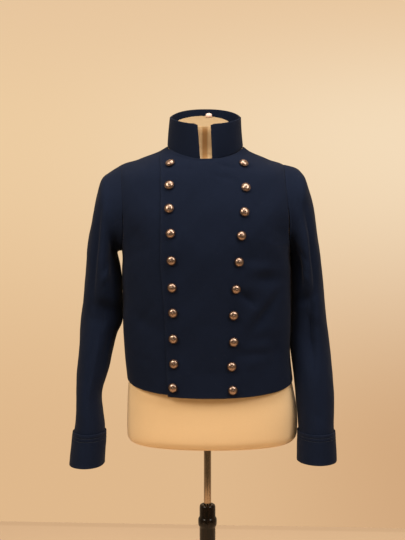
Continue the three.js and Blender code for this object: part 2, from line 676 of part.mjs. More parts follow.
// The collar stands on the neck seam, and its ends leave a slot at the front
function collarGeometry() {
  const seam = tableAt(bodyRings, NECK);
  const foot = { ...seam, half: seam.half - SEAM_GAP, front: seam.front - SEAM_GAP, back: seam.back - SEAM_GAP };
  for (const name of ['zFront', 'zSide', 'zBack']) {
    foot[name] += SEAM_GAP + 0.05;
  }
  const ring = (v) => mixRows(foot, collarTop, v);
  const surface = (v, angle) => ringPoint(ring(v), angle);
  const grid = spread(0, 1, COLLAR_ROWS).map((v) => {
    const slot = mixRows(collarSlot.foot, collarSlot.top, v);
    const start = angleAtX(ring(v), slot.left);
    const end = 2 * Math.PI + angleAtX(ring(v), slot.right);
    return spread(start, end, COLLAR_COLUMNS).map((angle, column) => {
      const point = surface(v, angle);
      const normal = normalOf(surface, v, angle, 0.02, 0.03);
      const atEnd = column === 0 || column === COLLAR_COLUMNS;
      point.z -= atEnd && v === 1 ? COLLAR_CORNER : 0;
      return { outer: point, inner: point.clone().addScaledVector(normal, -COLLAR_CLOTH) };
    });
  });
  return wallGeometry(grid, false);
}

// A turned piece about +Z
function turned(profile, segments) {
  const geometry = new THREE.LatheGeometry(profile.map(({ r, h }) => new THREE.Vector2(r, h)), segments);
  return geometry.rotateX(QUARTER);
}

// A button sits on the left front where its X and Z say, square to the cloth
function buttonPlace({ x, z }) {
  let low = 0;
  let high = NECK;
  for (let turn = 0; turn < 40; turn += 1) {
    const t = (low + high) / 2;
    const row = tableAt(bodyRings, t);
    const point = leftFrontPair(t, angleAtX(row, x)).outer;
    if (point.z < z) {
      low = t;
    } else {
      high = t;
    }
  }
  const angle = angleAtX(tableAt(bodyRings, low), x);
  return { point: leftFrontPair(low, angle).outer, normal: bodyNormal(low, angle) };
}

// The dress form: hips, chest and shoulders inside the jacket, and the neck
function formGeometry() {
  const angles = spread(0, 2 * Math.PI, FORM_COLUMNS).slice(0, -1);
  const ring = (row) => angles.map((angle) => ringPoint(row, angle));
  const chest = bodyRows.filter((t) => t >= UNDERARM).map((t) => {
    const looseness = 1 - THREE.MathUtils.smoothstep(t, ARMHOLE_MIDDLE, 8);
    return angles.map((angle) => {
      const face = Math.cos(angle) ** 2 * FACE_EASE;
      const inset = CLOTH + SHOULDER_EASE + face + (CHEST_EASE - FACE_EASE) * looseness;
      const normal = normalOf(plainBody, t, angle, 0.02, 0.03);
      return plainBody(t, angle).addScaledVector(normal, -inset);
    });
  });
  return ringsGeometry([...formHips.map(ring), ...chest, ...formNeck.map(ring)]);
}

function poleProfile() {
  const bore = ROD_RADIUS + FIT_GAP;
  const floor = ROD_FOOT - FIT_GAP;
  const foot = BASE_HEIGHT + FIT_GAP;
  return [
    { r: 0, h: foot },
    { r: 62, h: foot },
    { r: 62, h: foot + 8 },
    { r: 44, h: foot + 16 },
    { r: 28, h: foot + 34 },
    { r: 20, h: foot + 60 },
    { r: POLE_RADIUS, h: foot + 96 },
    { r: POLE_RADIUS, h: 650 },
    { r: 20.5, h: 655 },
    { r: 20.5, h: 664 },
    { r: POLE_RADIUS, h: 669 },
    { r: POLE_RADIUS, h: POLE_TOP - 5 },
    { r: POLE_RADIUS - 3, h: POLE_TOP },
    { r: bore, h: POLE_TOP },
    { r: bore, h: floor },
    { r: 0, h: floor },
  ];
}

const baseProfile = [
  { r: 0, h: 0 },
  { r: BASE_RADIUS, h: 0 },
  { r: BASE_RADIUS, h: 16 },
  { r: BASE_RADIUS - 6, h: 22 },
  { r: BASE_RADIUS - 40, h: BASE_HEIGHT },
  { r: 0, h: BASE_HEIGHT },
];

const rodProfile = [
  { r: 0, h: ROD_FOOT },
  { r: ROD_RADIUS, h: ROD_FOOT },
  { r: ROD_RADIUS, h: ROD_TOP },
  { r: 0, h: ROD_TOP },
];

const part = new THREE.Group();

function addPiece(name, geometry, look) {
  const mesh = new THREE.Mesh(geometry, new THREE.MeshStandardMaterial(materials[look]));
  mesh.name = name;
  part.add(mesh);
  return mesh;
}

function addButtons(prefix, places) {
  places.forEach((place, index) => {
    const { point, normal } = buttonPlace(place);
    const number = String(index + 1).padStart(2, '0');
    const button = addPiece(`${prefix}_${number}`, turned(buttonProfile, BUTTON_SEGMENTS), 'copper');
    button.position.copy(point.addScaledVector(normal, SEAM_GAP));
    button.quaternion.setFromUnitVectors(new THREE.Vector3(0, 0, 1), normal);
  });
}

addPiece('left_front', wallGeometry(leftFrontGrid(), false), 'wool');
addPiece('right_front', wallGeometry(rightFrontGrid(), false), 'wool');
addPiece('back', wallGeometry(backGrid(), false), 'wool');
addPiece('collar', collarGeometry(), 'wool');
const rightSleeve = makeSleeve(-1, rightSleeveRings, rightSleeveFolds);
const leftSleeve = makeSleeve(1, leftSleeveRings, leftSleeveFolds);
for (const [side, sleeve] of [['right', rightSleeve], ['left', leftSleeve]]) {
  addPiece(`${side}_top_sleeve`, sleeveGeometry(sleeve, BACK_SEAM - SLEEVE_COLUMNS, FRONT_SEAM), 'wool');
  addPiece(`${side}_under_sleeve`, sleeveGeometry(sleeve, FRONT_SEAM, BACK_SEAM), 'wool');
  addPiece(`${side}_cuff`, cuffGeometry(sleeve), 'wool');
}
addButtons('right_button', rightButtons);
addButtons('left_button', leftButtons);
addPiece('form_body', formGeometry(), 'jersey');
const knob = addPiece('form_knob', turned(knobProfile, 16), 'knob');
const neckTop = formNeck.at(-1);
const neckSlope = (neckTop.zBack - neckTop.zSide) / neckTop.back;
const knobAxis = new THREE.Vector3(0, -neckSlope, 1).normalize();
knob.position.set(KNOB_X, KNOB_Y, neckTop.zSide + neckSlope * KNOB_Y).addScaledVector(knobAxis, KNOB_GAP);
knob.quaternion.setFromUnitVectors(new THREE.Vector3(0, 0, 1), knobAxis);
addPiece('stand_rod', turned(rodProfile, 16), 'chrome');
addPiece('stand_pole', turned(poleProfile(), STAND_SEGMENTS), 'lacquer');
addPiece('stand_base', turned(baseProfile, 36), 'lacquer');

export default part;
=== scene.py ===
"""A double-breasted wool stable jacket on a dress form and turned stand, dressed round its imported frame."""
import math

import bpy
import numpy as np
from mathutils import Matrix, Vector


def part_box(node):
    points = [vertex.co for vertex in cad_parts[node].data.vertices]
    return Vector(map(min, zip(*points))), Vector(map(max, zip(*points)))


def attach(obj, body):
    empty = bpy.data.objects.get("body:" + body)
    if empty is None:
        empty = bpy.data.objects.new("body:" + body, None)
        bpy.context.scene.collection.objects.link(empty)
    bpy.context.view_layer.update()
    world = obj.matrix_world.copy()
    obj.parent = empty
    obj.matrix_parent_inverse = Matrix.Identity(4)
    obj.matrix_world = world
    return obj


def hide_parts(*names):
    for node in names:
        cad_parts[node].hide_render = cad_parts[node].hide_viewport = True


bl_info = {
    "name": "Stable Jacket",
    "version": (1, 0, 0),
    "blender": (4, 5, 0),
    "location": "View3D > Sidebar > Jacket",
    "description": "Builds a double-breasted wool stable jacket on a dress form and its turned stand",
    "category": "Add Mesh",
}

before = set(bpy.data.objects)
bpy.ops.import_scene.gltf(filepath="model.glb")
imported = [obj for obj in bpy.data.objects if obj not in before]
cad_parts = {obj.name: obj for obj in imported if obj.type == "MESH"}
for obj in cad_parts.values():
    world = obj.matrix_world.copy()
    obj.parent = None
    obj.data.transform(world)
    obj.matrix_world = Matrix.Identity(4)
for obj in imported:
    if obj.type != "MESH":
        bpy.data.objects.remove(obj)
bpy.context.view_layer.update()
BODY = "root"

# Lengths in the tables are in millimetres, and the meshes are in metres
MM = 0.001
QUARTER = math.pi / 2

# Cloth, the gaps that part its pieces, and how the left front laps over the right one
CLOTH = 2.0
COLLAR_CLOTH = 3.0
CUFF_CLOTH = 2.5
SEAM_GAP = 0.3
CUFF_GAP = 0.5
LAP_LIFT = 2.4
LAP_FADE = 50.0
LAP_RISE = 1.8
LAP_LEAN = 0.9
LAP_TOP_ROW = 9.4
LAP_TOP_ANGLES = (0.1, 0.4)
UNDERLAP_HEM = 0.05
SLEEVE_CLEARANCE = 2.0
PUSH_HEIGHT = 90.0

# Rows of the body table at the armhole, the shoulder and the neck, and how far the armhole swings out
UNDERARM = 5
SHOULDER_POINT = 7.3
ARMHOLE_MIDDLE = (UNDERARM + SHOULDER_POINT) / 2
ARMHOLE_REACH = (SHOULDER_POINT - UNDERARM) / 2
NECK = 10
ARMHOLE_FRONT = math.radians(32)
ARMHOLE_BACK = math.radians(32)

# Sleeve rows at the cuff, and the angles of the two sleeve seams
CUFF_TOP = 12.1
SLEEVE_END = 12.97
CUFF_FOOT = 13.0
FRONT_SEAM = math.radians(108)
BACK_SEAM = math.radians(252)
ARMHOLE_FADE = 3.0

# Distances from an edge at which a panel has its closest rows of points, and the steps between the rest
EDGE_STEPS = (0.0, 0.25, 0.6, 1.0, 1.6, 2.4, 3.4)
GRID_STEP = 3.6
COLLAR_STEP = 2.88
SLEEVE_STEP = 4.2

# Rough sizes of the pieces, over which their points are spread
SIDE_SEAM = 290
SHOULDER_SEAM = 100
FRONT_WIDTH = 285
BACK_WIDTH = 420
COLLAR_LENGTH = 480
COLLAR_HEIGHT = 78
TOP_SLEEVE_WIDTH = 250
UNDER_SLEEVE_WIDTH = 150
CUFF_ROUND = 280
CUFF_LENGTH = 69
CUFF_COLUMNS = 96

# How deep a fold still is at its two ends, as a share
FOLD_FOOT = 0.35


class Table:
    """Numbers in named columns, read between their rows by a smooth curve through each column"""

    def __init__(self, columns, *rows):
        self.columns = columns.split()
        self.values = np.array(rows, float)

    def at(self, t):
        """Each column's value at a place between the rows"""
        t = np.asarray(t, float)
        last = len(self.values) - 1
        i = np.clip(np.floor(t).astype(int), 0, last - 1)
        u = (t - i)[..., None]
        b = self.values[i]
        c = self.values[i + 1]
        a = np.where((i > 0)[..., None], self.values[np.maximum(i - 1, 0)], 2 * b - c)
        d = np.where((i + 2 <= last)[..., None], self.values[np.minimum(i + 2, last)], 2 * c - b)
        bow = a - 2.5 * b + 2 * c - d / 2
        twist = (d - a) / 2 + 1.5 * (b - c)
        row = b + (c - a) / 2 * u + bow * u**2 + twist * u**3
        return dict(zip(self.columns, np.moveaxis(row, -1, 0)))

    def row(self, number):
        """The values of one row by their names"""
        return dict(zip(self.columns, self.values[number]))


RING = "z_front z_side z_back half front back mid shape bend"

# Rings of the jacket body from the hem to the neck seam, and the X of both laps
BODY_RINGS = Table(
    RING + " edge under",
    (951, 978, 980, 181, 121, 100, 5.5, 2.3, 1.0, -83, 70),
    (1015, 1032, 1034, 181.2, 122, 98, 0, 2.3, 1.0, -85.5, 75),
    (1085, 1092, 1094, 183.4, 126, 101, -1.4, 2.3, 1.0, -88, 78),
    (1150, 1152, 1153, 185, 131, 106, -1.4, 2.3, 1.0, -91, 80),
    (1215, 1212, 1212, 185, 135, 112, -2.2, 2.35, 1.0, -97, 80),
    (1268, 1255, 1262, 184.5, 136, 118, -3, 2.4, 1.1, -97.5, 80),
    (1335, 1345, 1340, 203, 126, 122, -4, 2.35, 1.05, -97.5, 80),
    (1395, 1432, 1405, 190, 108, 116, -10, 2.1, 0.9, -98.5, 78),
    (1425, 1456, 1452, 142, 96, 100, -9, 2.0, 1.15, -99.5, 70),
    (1440, 1472, 1485, 102, 87, 84, -7, 2.0, 1.35, -100.5, 50),
    (1448, 1484, 1503, 83.5, 80, 70, -5, 2.0, 1.35, -79, 20),
)

# Folds and creases of the body, each a trough or ridge between two points seen from the front or back
FOLD = "x1 z1 x2 z2 depth width"
FRONT_FOLDS = Table(
    FOLD,
    (72.6, 1173, 108, 1147, -3, 14),
    (139, 1138, 97, 1096, -3.5, 16),
    (73, 1073, 156, 1073, -1.8, 12),
    (148, 1071, 148, 1028, -2, 13),
    (156, 1310, 156, 1269, -3, 16),
    (60, 1246, 130, 1246, -2, 22),
    (87, 1197, 160, 1194, -3.2, 15),
    (-150, 1120, -108, 1092, -2.5, 15),
    (-158, 1308, -158, 1268, -2.5, 16),
    (20, 1437, 62, 1430, -1.5, 6),
    (8, 1424, 48, 1420, 0.7, 7),
    (26, 1411, 58, 1404, -1.1, 7),
    (-60, 1425, -28, 1429, -0.6, 7),
    (112, 1292, 158, 1268, -0.9, 9),
    (-120, 1268, -160, 1246, -0.8, 9),
    (150, 1235, 128, 1196, -0.9, 10),
    (66, 1002, 116, 1012, -0.7, 9),
    (-118, 1022, -160, 1036, -0.7, 9),
    (-30, 1108, 18, 1098, -0.6, 12),
    (62, 1174.5, 99, 1141.6, -4.2, 8),
    (154.6, 1170.4, 92.9, 1090, -4.6, 9),
    (66, 1041, 132, 1041, -2.8, 10),
    (140, 1062, 140, 1008, -1.2, 7),
    (98, 1222, 150, 1219, 1.6, 13),
    (-24, 1006, 28, 1000, -0.6, 11),
    (92, 1200, 156, 1197, -2.2, 13),
    (72, 1238, 146, 1230, -1.6, 13),
    (112, 1292, 150, 1264, 2.2, 20),
    (-128, 1352, -122, 1210, 1.4, 16),
    (-110, 1150, -150, 1096, -1.4, 12),
)
BACK_FOLDS = Table(
    FOLD,
    (-135, 1300, -128, 1190, -3, 18),
    (128, 1305, 122, 1200, -3, 18),
    (-110, 1118, -30, 1098, -2.5, 16),
    (40, 1104, 118, 1122, -2.5, 16),
    (-96, 1352, -140, 1322, -1.0, 10),
    (92, 1356, 138, 1318, -1.1, 10),
    (-52, 1462, 44, 1460, -0.8, 8),
    (-20, 1066, 62, 1060, -0.9, 11),
    (-150, 1152, -116, 1130, -1.0, 9),
    (148, 1160, 112, 1138, -0.9, 10),
    (-74, 1024, -128, 1034, -0.8, 9),
    (18, 1228, 70, 1214, -0.7, 13),
)

# Rings of each sleeve below its armhole, X counted outwards. The last one is the cuff's foot.
SLEEVE = "outer_x outer_z inner_x inner_z middle depth"
RIGHT_SLEEVE_RINGS = (
    (216, 1427, 195, 1254, 2, 72),
    (231, 1414, 199, 1250, 2, 73),
    (239.5, 1388, 199.5, 1243, 2, 74),
    (248, 1352, 196.5, 1232, 3, 76),
    (256, 1308, 192.5, 1216, 4, 77),
    (264.4, 1254, 189, 1196, 6, 78),
    (269, 1197, 188, 1162, 8, 76),
    (276, 1121, 187, 1105, 6, 68),
    (280, 1074, 200, 1068, 0, 63),
    (283, 1006, 214, 1006, -14, 58),
    (284, 946, 229, 946, -28, 55),
    (285, 877, 222, 877, -42, 52),
    (294, 801, 223, 801, -52, 53),
)
LEFT_SLEEVE_RINGS = (
    (194, 1437, 176, 1250, 2, 72),
    (207, 1427, 178, 1243, 2, 73),
    (216, 1411, 180, 1234, 2, 74),
    (226, 1376, 181, 1222, 3, 76),
    (235, 1335, 182, 1208, 4, 77),
    (244, 1273, 183, 1190, 6, 78),
    (251, 1215, 184, 1160, 8, 76),
    (260, 1125, 183, 1105, 6, 70),
    (266, 1060, 181, 1058, 0, 65),
    (272, 1000, 185.5, 1000, -14, 60),
    (273, 945, 191, 945, -28, 57),
    (272, 877, 195, 877, -42, 54),
    (272.4, 808, 194.5, 808, -52, 54),
)

# Folds of the sleeves, by the angle round the sleeve in degrees (0 outside, 90 front) and the height
SLEEVE_FOLD = "angle1 z1 angle2 z2 depth width"
RIGHT_SLEEVE_FOLDS = Table(
    SLEEVE_FOLD,
    (62, 1355, 66, 1146, -4, 13),
    (138, 1262, 132, 1170, -7, 20),
    (92, 1290, 96, 1180, 2.5, 14),
    (60, 1118, 118, 1092, -3, 13),
    (70, 1125, 150, 1112, -9, 24),
    (76, 1142, 150, 1128, -6, 13),
    (96, 1206, 112, 1192, 4, 20),
    (270, 1330, 285, 1180, -4, 16),
    (240, 1120, 300, 1095, -3, 14),
    (118, 1240, 92, 1206, -1.2, 8),
    (64, 1345, 66, 1150, -4.5, 9),
    (152, 1330, 150, 1256, -5, 12),
    (104, 1062, 104, 928, 1.6, 6),
    (86, 1080, 88, 928, -2.6, 8),
    (140, 1092, 132, 1000, -3.5, 12),
    (74, 1098, 112, 1070, -1.3, 8),
    (50, 1140, 88, 1128, -1.1, 8),
    (84, 1040, 62, 990, -1.0, 9),
    (112, 1034, 96, 968, -1.2, 9),
    (70, 930, 104, 902, -0.9, 8),
    (252, 1166, 300, 1146, -1.3, 9),
    (246, 1082, 286, 1064, -1.2, 9),
    (288, 1020, 266, 960, -1.0, 10),
    (250, 918, 290, 900, -0.9, 8),
    (318, 1300, 322, 1200, -1.0, 12),
)
LEFT_SLEEVE_FOLDS = Table(
    SLEEVE_FOLD,
    (66, 1350, 68, 1170, -5, 13),
    (84, 1160, 95, 1050, -2.5, 13),
    (138, 1262, 130, 1170, -7, 20),
    (92, 1295, 98, 1180, 2.5, 14),
    (118, 1116, 62, 1086, -3, 13),
    (112, 1140, 104, 1020, -8, 22),
    (78, 1158, 150, 1146, -5, 12),
    (98, 1206, 110, 1194, 3, 18),
    (275, 1335, 262, 1180, -4, 16),
    (240, 1118, 300, 1090, -3, 14),
    (130, 1268, 93, 1231, -3, 6),
    (66, 1350, 70, 1160, -4, 8),
    (80, 1190, 92, 1010, -5, 12),
    (138, 1256, 128, 1186, -5, 13),
    (152, 1322, 150, 1258, -4, 12),
    (118, 1078, 74, 1056, -1.3, 8),
    (96, 1140, 66, 1128, -1.1, 8),
    (102, 1160, 96, 1036, -5, 17),
    (88, 1024, 104, 970, -1.0, 9),
    (66, 1020, 74, 950, -1.1, 9),
    (108, 920, 78, 898, -0.9, 8),
    (248, 1160, 296, 1142, -1.2, 9),
    (250, 1078, 290, 1060, -1.2, 9),
    (264, 1010, 282, 955, -1.0, 10),
    (252, 914, 286, 896, -0.9, 8),
    (320, 1296, 316, 1204, -1.0, 12),
)

COLLAR_TOP = {"z_front": 1524, "z_side": 1549, "z_back": 1574, "half": 78, "front": 84, "back": 63,
              "mid": -4.4, "shape": 2.35, "bend": 1.35}
COLLAR_SLOT_FOOT = {"right": -16.0, "left": 9.5}
COLLAR_SLOT_TOP = {"right": -21.5, "left": 6.3}
COLLAR_CORNER = 2.5

# How far the collar bows in and out between its edges, and how far its top edge waves
COLLAR_BOW = 0.9
COLLAR_WAVE = 0.5

# The collar's foot runs on below the seam by this share of its height, and lies this far inside
COLLAR_ALLOWANCE = 0.045
COLLAR_TUCK = 2.6

# The dress form below the chest and above the neck seam
FORM_HIPS = Table(
    RING,
    (836, 836, 836, 150, 80, 70, 9, 2.2, 1),
    (838, 838, 838, 170, 97, 84, 9, 2.2, 1),
    (845, 845, 845, 181, 103, 89, 9, 2.2, 1),
    (860, 860, 860, 186, 107, 92, 10, 2.2, 1),
    (905, 905, 905, 186, 109, 93, 10, 2.2, 1),
    (950, 950, 950, 181.5, 110, 93, 7, 2.2, 1),
    (995, 995, 995, 175.5, 110, 91, 4, 2.2, 1),
    (1055, 1055, 1055, 174, 111, 89, 0, 2.2, 1),
    (1130, 1130, 1130, 175, 117, 96, 0, 2.2, 1),
    (1200, 1200, 1200, 176, 124, 102, -2, 2.3, 1),
)
FORM_NECK = Table(
    RING,
    (1458, 1493, 1511, 66, 71, 57, -8, 2, 1.2),
    (1474, 1506, 1521, 60, 68.5, 53, -10, 2, 1.1),
    (1498, 1520, 1538, 58.5, 68, 52, -11, 2, 1),
    (1517, 1534, 1552, 58.5, 68, 52, -11, 2, 1),
    (1521, 1537.5, 1555.5, 56, 65, 50, -11, 2, 1),
    (1525, 1539, 1556, 46, 53, 41, -11, 2, 1),
)
SHOULDER_EASE = 0.8
FACE_EASE = 3.0
CHEST_EASE = 7.5
HIP_STEPS = 6
CHEST_STEPS = 56
NECK_STEPS = 5
FORM_COLUMNS = 144

# How far each button is turned on from the one above it
BUTTON_TURN = math.radians(37)

# Middles of the buttons, from the top down
BUTTONS = {
    "right": ((-78, 1440.5), (-79.5, 1393), (-79.4, 1344), (-75.8, 1292.5), (-74, 1237), (-72.5, 1181),
              (-71, 1129), (-70.3, 1075), (-69.5, 1022.7), (-71, 973.3)),
    "left": ((75.5, 1440.5), (78.8, 1388.3), (75, 1337), (68.5, 1287.8), (63.4, 1234), (57, 1178.3),
             (52.6, 1124), (52.4, 1068.8), (49, 1017.8), (51, 968.8)),
}


def smooth(value, low, high):
    """A smooth step from 0 at low to 1 at high"""
    share = np.clip((value - low) / (high - low), 0, 1)
    return share * share * (3 - 2 * share)


def ring_point(row, angle):
    """A point of a ring: angle 0 is the middle of the front and a quarter turn the left side"""
    sine = np.sin(angle)
    cosine = np.cos(angle)
    across = np.sign(sine) * np.abs(sine) ** (2 / row["shape"])
    along = np.abs(cosine) ** (2 / row["shape"])
    end = np.where(cosine > 0, row["z_front"], row["z_back"])
    x = row["mid"] + row["half"] * across
    y = np.where(cosine > 0, -row["front"], row["back"]) * along
    z = row["z_side"] + (end - row["z_side"]) * along ** row["bend"]
    return np.stack([x, y, z], axis=-1)


def angle_at_x(row, x):
    """The angle at which the front of a ring has the given X"""
    across = np.clip((x - row["mid"]) / row["half"], -1, 1)
    return np.arcsin(np.sign(across) * np.abs(across) ** (row["shape"] / 2))


def normal_of(surface, u, v, step_u, step_v):
    """The unit normal of a surface given by a function of two parameters"""
    along_u = surface(u + step_u, v) - surface(u - step_u, v)
    along_v = surface(u, v + step_v) - surface(u, v - step_v)
    normal = np.cross(along_v, along_u)
    return normal / np.linalg.norm(normal, axis=-1, keepdims=True)


def fold_sum(x, y, lines, depths, widths):
    """How far the folds move a surface, with x and y along it and each line as x1, y1, x2, y2"""
    total = np.zeros_like(x)
    for (x1, y1, x2, y2), depth, width in zip(lines, depths, widths):
        dx = x2 - x1
        dy = y2 - y1
        share = np.clip(((x - x1) * dx + (y - y1) * dy) / (dx * dx + dy * dy), 0, 1)
        distance = np.hypot(x - x1 - dx * share, y - y1 - dy * share)
        swell = FOLD_FOOT + (1 - FOLD_FOOT) * np.sin(np.pi * share)
        total += depth * np.exp(-((distance / width) ** 2)) * swell
    return total


# The slow waves of cloth that hangs on a form: the length of each along X and Z, its turn and height
WAVES = (
    (190, 150, 0.4, 0.55),
    (-120, 95, 1.9, 0.35),
    (68, -88, 3.3, 0.22),
    (41, 57, 5.0, 0.12),
    (-29, 33, 2.2, 0.08),
)


def wave_sum(x, z):
    """Slow, uneven waves over a panel"""
    return sum(
        height * np.sin(2 * np.pi * (x / length_x + z / length_z) + turn)
        for length_x, length_z, turn, height in WAVES
    )


def plain_body(t, angle):
    """The body without its folds"""
    return ring_point(BODY_RINGS.at(t), angle)


def body_relief(point):
    """Folds, creases and waves of the body"""
    x, y, z = np.moveaxis(point, -1, 0)
    total = np.zeros_like(x)
    for table, facing in ((FRONT_FOLDS, y < 0), (BACK_FOLDS, y >= 0)):
        folds = fold_sum(x, z, table.values[:, :4], table.values[:, 4], table.values[:, 5])
        total += np.where(facing, folds, 0)
    return (total + wave_sum(x, z)) * smooth(np.abs(y), 5, 45)


def body_point(t, angle):
    """The body's outer side with its folds"""
    point = plain_body(t, angle)
    normal = normal_of(plain_body, t, angle, 0.01, 0.02)
    return point + normal * body_relief(point)[..., None]


def body_normal(t, angle):
    """The body's outward normal"""
    return normal_of(body_point, t, angle, 0.02, 0.03)


def side_angle(t, bulge):
    """The angle of the side seam, the armhole's edge or the shoulder seam"""
    inside = np.maximum(0, 1 - ((t - ARMHOLE_MIDDLE) / ARMHOLE_REACH) ** 2)
    return QUARTER - bulge * np.sqrt(inside)


def graded(length, step, fine_start=True, fine_end=True):
    """Shares from 0 to 1 of a length, a step apart, with the edge steps at its ends"""
    start = list(EDGE_STEPS) if fine_start else [0.0]
    end = [length - value for value in (EDGE_STEPS if fine_end else (0.0,))][::-1]
    count = max(1, round((end[0] - start[-1]) / step))
    middle = list(np.linspace(start[-1], end[0], count + 1))[1:-1]
    return np.array(start + middle + end) / length


def spread(t, start, end, width):
    """The rows and angles of a panel's points, between an angle at one edge and one at the other"""
    shares = graded(width, GRID_STEP)
    angles = start[:, None] + shares * (end - start)[:, None]
    return np.repeat(t[:, None], len(shares), axis=1), angles


def armhole_row(turn):
    """The row of the body table that the armhole passes, at a turn from 0 at the underarm"""
    return ARMHOLE_MIDDLE - ARMHOLE_REACH * np.cos(turn)


def body_rows():
    """The rows of points of a body panel, from the hem to the neck"""
    lower = graded(SIDE_SEAM, GRID_STEP, fine_end=False) * UNDERARM
    turns = np.linspace(0, math.pi, 56)[1:-1]
    upper = SHOULDER_POINT + graded(SHOULDER_SEAM, GRID_STEP, fine_start=False) * (NECK - SHOULDER_POINT)
    return np.concatenate([lower, armhole_row(turns), upper])


def lap_lift(t, x):
    """How far the left front stands off the body surface"""
    under = BODY_RINGS.at(t)["under"]
    return LAP_LIFT * (1 - smooth(x, under, under + LAP_FADE))


def wall(t, angle, lift):
    """Outer and inner points of a body panel"""
    normal = body_normal(t, angle)
    point = body_point(t, angle)
    lift = np.asarray(lift)[..., None]
    return point + normal * lift, point + normal * (lift - CLOTH)


def left_front_wall(t, angle):
    """The left front, whose free top edge rises and leans a little outside the collar"""
    outer, inner = wall(t, angle, lap_lift(t, plain_body(t, angle)[..., 0]))
    high = (smooth(t, LAP_TOP_ROW, NECK) * (1 - smooth(angle, *LAP_TOP_ANGLES)))[..., None]
    walls = []
    for points in (outer, inner):
        flat = points * (1, 1, 0)
        radial = flat / np.linalg.norm(flat, axis=-1, keepdims=True)
        walls.append(points + radial * high * LAP_LEAN + high * (0, 0, LAP_RISE))
    return walls


def line_distance(points, line):
    """Each point's distance to a line of points"""
    best = np.full(points.shape[:-1], 1e9)
    for start, end in zip(line[:-1], line[1:]):
        along = end - start
        length = along @ along
        if length < 1e-12:
            continue
        share = np.clip((points - start) @ along / length, 0, 1)
        best = np.minimum(best, np.linalg.norm(points - start - share[..., None] * along, axis=-1))
    return best


def round_edge(outer, inner, distance, radius):
    """Closes the wall towards a free edge in a half round"""
    share = np.clip(distance / radius, 0, 1)
    fall = 0.9 * (1 - np.sqrt(1 - (1 - share) ** 2))[..., None]
    middle = (outer + inner) / 2
    return outer + (middle - outer) * fall, inner + (middle - inner) * fall


def sink_seam(outer, inner, distance, depth, width):
    """Rolls the outer side down towards a sewn edge"""
    share = np.clip(distance / width, 0, 1)
    across = inner - outer
    across /= np.linalg.norm(across, axis=-1, keepdims=True)
    return outer + across * (depth * (1 - share) ** 2.2)[..., None], inner


def grid_uv(outer, start_column):
    """Lengths along the rows and columns of a grid, in metres"""
    across = np.linalg.norm(np.diff(outer, axis=1), axis=-1)
    up = np.linalg.norm(np.diff(outer, axis=0), axis=-1)
    u = np.pad(np.cumsum(across, axis=1), ((0, 0), (1, 0)))
    v = np.pad(np.cumsum(up, axis=0), ((1, 0), (0, 0)))
    u = u - u[:, start_column:start_column + 1]
    return np.stack([u, v], axis=-1) * MM


def signed_volume(points, quads):
    """The volume that four-cornered faces close in, negative where they point inwards"""
    a, b, c, d = (points[quads[:, i]] for i in range(4))
    return (np.einsum("ij,ij->i", a, np.cross(b, c)) + np.einsum("ij,ij->i", a, np.cross(c, d))).sum() / 6


def corners(grid):
    """The four corners of each face of a grid of numbers"""
    return np.stack([grid[:-1, :-1], grid[:-1, 1:], grid[1:, 1:], grid[1:, :-1]], -1).reshape(-1, 4)


def smooth_piece(name, points, faces):
    """A smoothly shaded mesh as a piece in the scene"""
    mesh = bpy.data.meshes.new(name)
    mesh.from_pydata(points, [], faces)
    mesh.polygons.foreach_set("use_smooth", np.ones(len(faces), bool))
    piece = bpy.data.objects.new(name, mesh)
    bpy.context.scene.collection.objects.link(piece)
    return piece


def set_cut(mesh, uv):
    """Writes the UV of each corner, in the order of the faces"""
    layer = mesh.uv_layers.new(name="cut")
    layer.data.foreach_set("uv", np.asarray(uv, np.float32).ravel())


def shell(name, outer, inner, wear, closed=False, start_column=0):
    """A closed cloth wall from grids of its outer and inner points, in millimetres"""
    rows, columns = outer.shape[:2]
    count = rows * columns
    points = np.concatenate([outer.reshape(-1, 3), inner.reshape(-1, 3)]) * MM
    index = np.arange(count).reshape(rows, columns)
    uv_source = np.concatenate([outer, outer[:, :1]], axis=1) if closed else outer
    uv = grid_uv(uv_source, start_column)
    uv_index = np.arange(uv.shape[0] * uv.shape[1]).reshape(uv.shape[:2])
    if closed:
        index = np.concatenate([index, index[:, :1]], axis=1)

    def border(grid):
        """The grid's edges as rows of numbers, the way round that faces out"""
        if closed:
            return [grid[0], grid[-1][::-1]]
        return [np.concatenate([grid[0], grid[1:, -1], grid[-1, -2::-1], grid[-2::-1, 0]])]

    face = corners(index)
    quads = [face, face[:, ::-1] + count]
    uv_quads = [corners(uv_index), corners(uv_index)[:, ::-1]]
    for loop, uv_loop in zip(border(index), border(uv_index)):
        quads.append(np.stack([loop[1:], loop[:-1], loop[:-1] + count, loop[1:] + count], -1))
        uv_quads.append(np.stack([uv_loop[1:], uv_loop[:-1], uv_loop[:-1], uv_loop[1:]], -1))
    quads = np.concatenate(quads)
    uv_quads = np.concatenate(uv_quads)
    if signed_volume(points, quads) < 0:
        quads = quads[:, ::-1]
        uv_quads = uv_quads[:, ::-1]
    piece = smooth_piece(name, points.tolist(), quads.tolist())
    set_cut(piece.data, uv.reshape(-1, 2)[uv_quads.reshape(-1)])
    attribute = piece.data.attributes.new("wear", "FLOAT", "POINT")
    attribute.data.foreach_set("value", np.tile(wear.reshape(-1), 2).astype(np.float32))
    piece.data.update()
    return piece


# How deep the outer side rolls down at a sewn edge, and from how far off
SEAM_SINK = 0.9
FLAT_SINK = 0.35
SEAM_ROLL = 3.4

# How far the nap is rubbed from a free edge, and how much and where it is along a sewn one
WEAR_REACH = 9.0
SEAM_WEAR = 0.45
SEAM_WEAR_PLACE = 2.6
SEAM_WEAR_REACH = 2.4


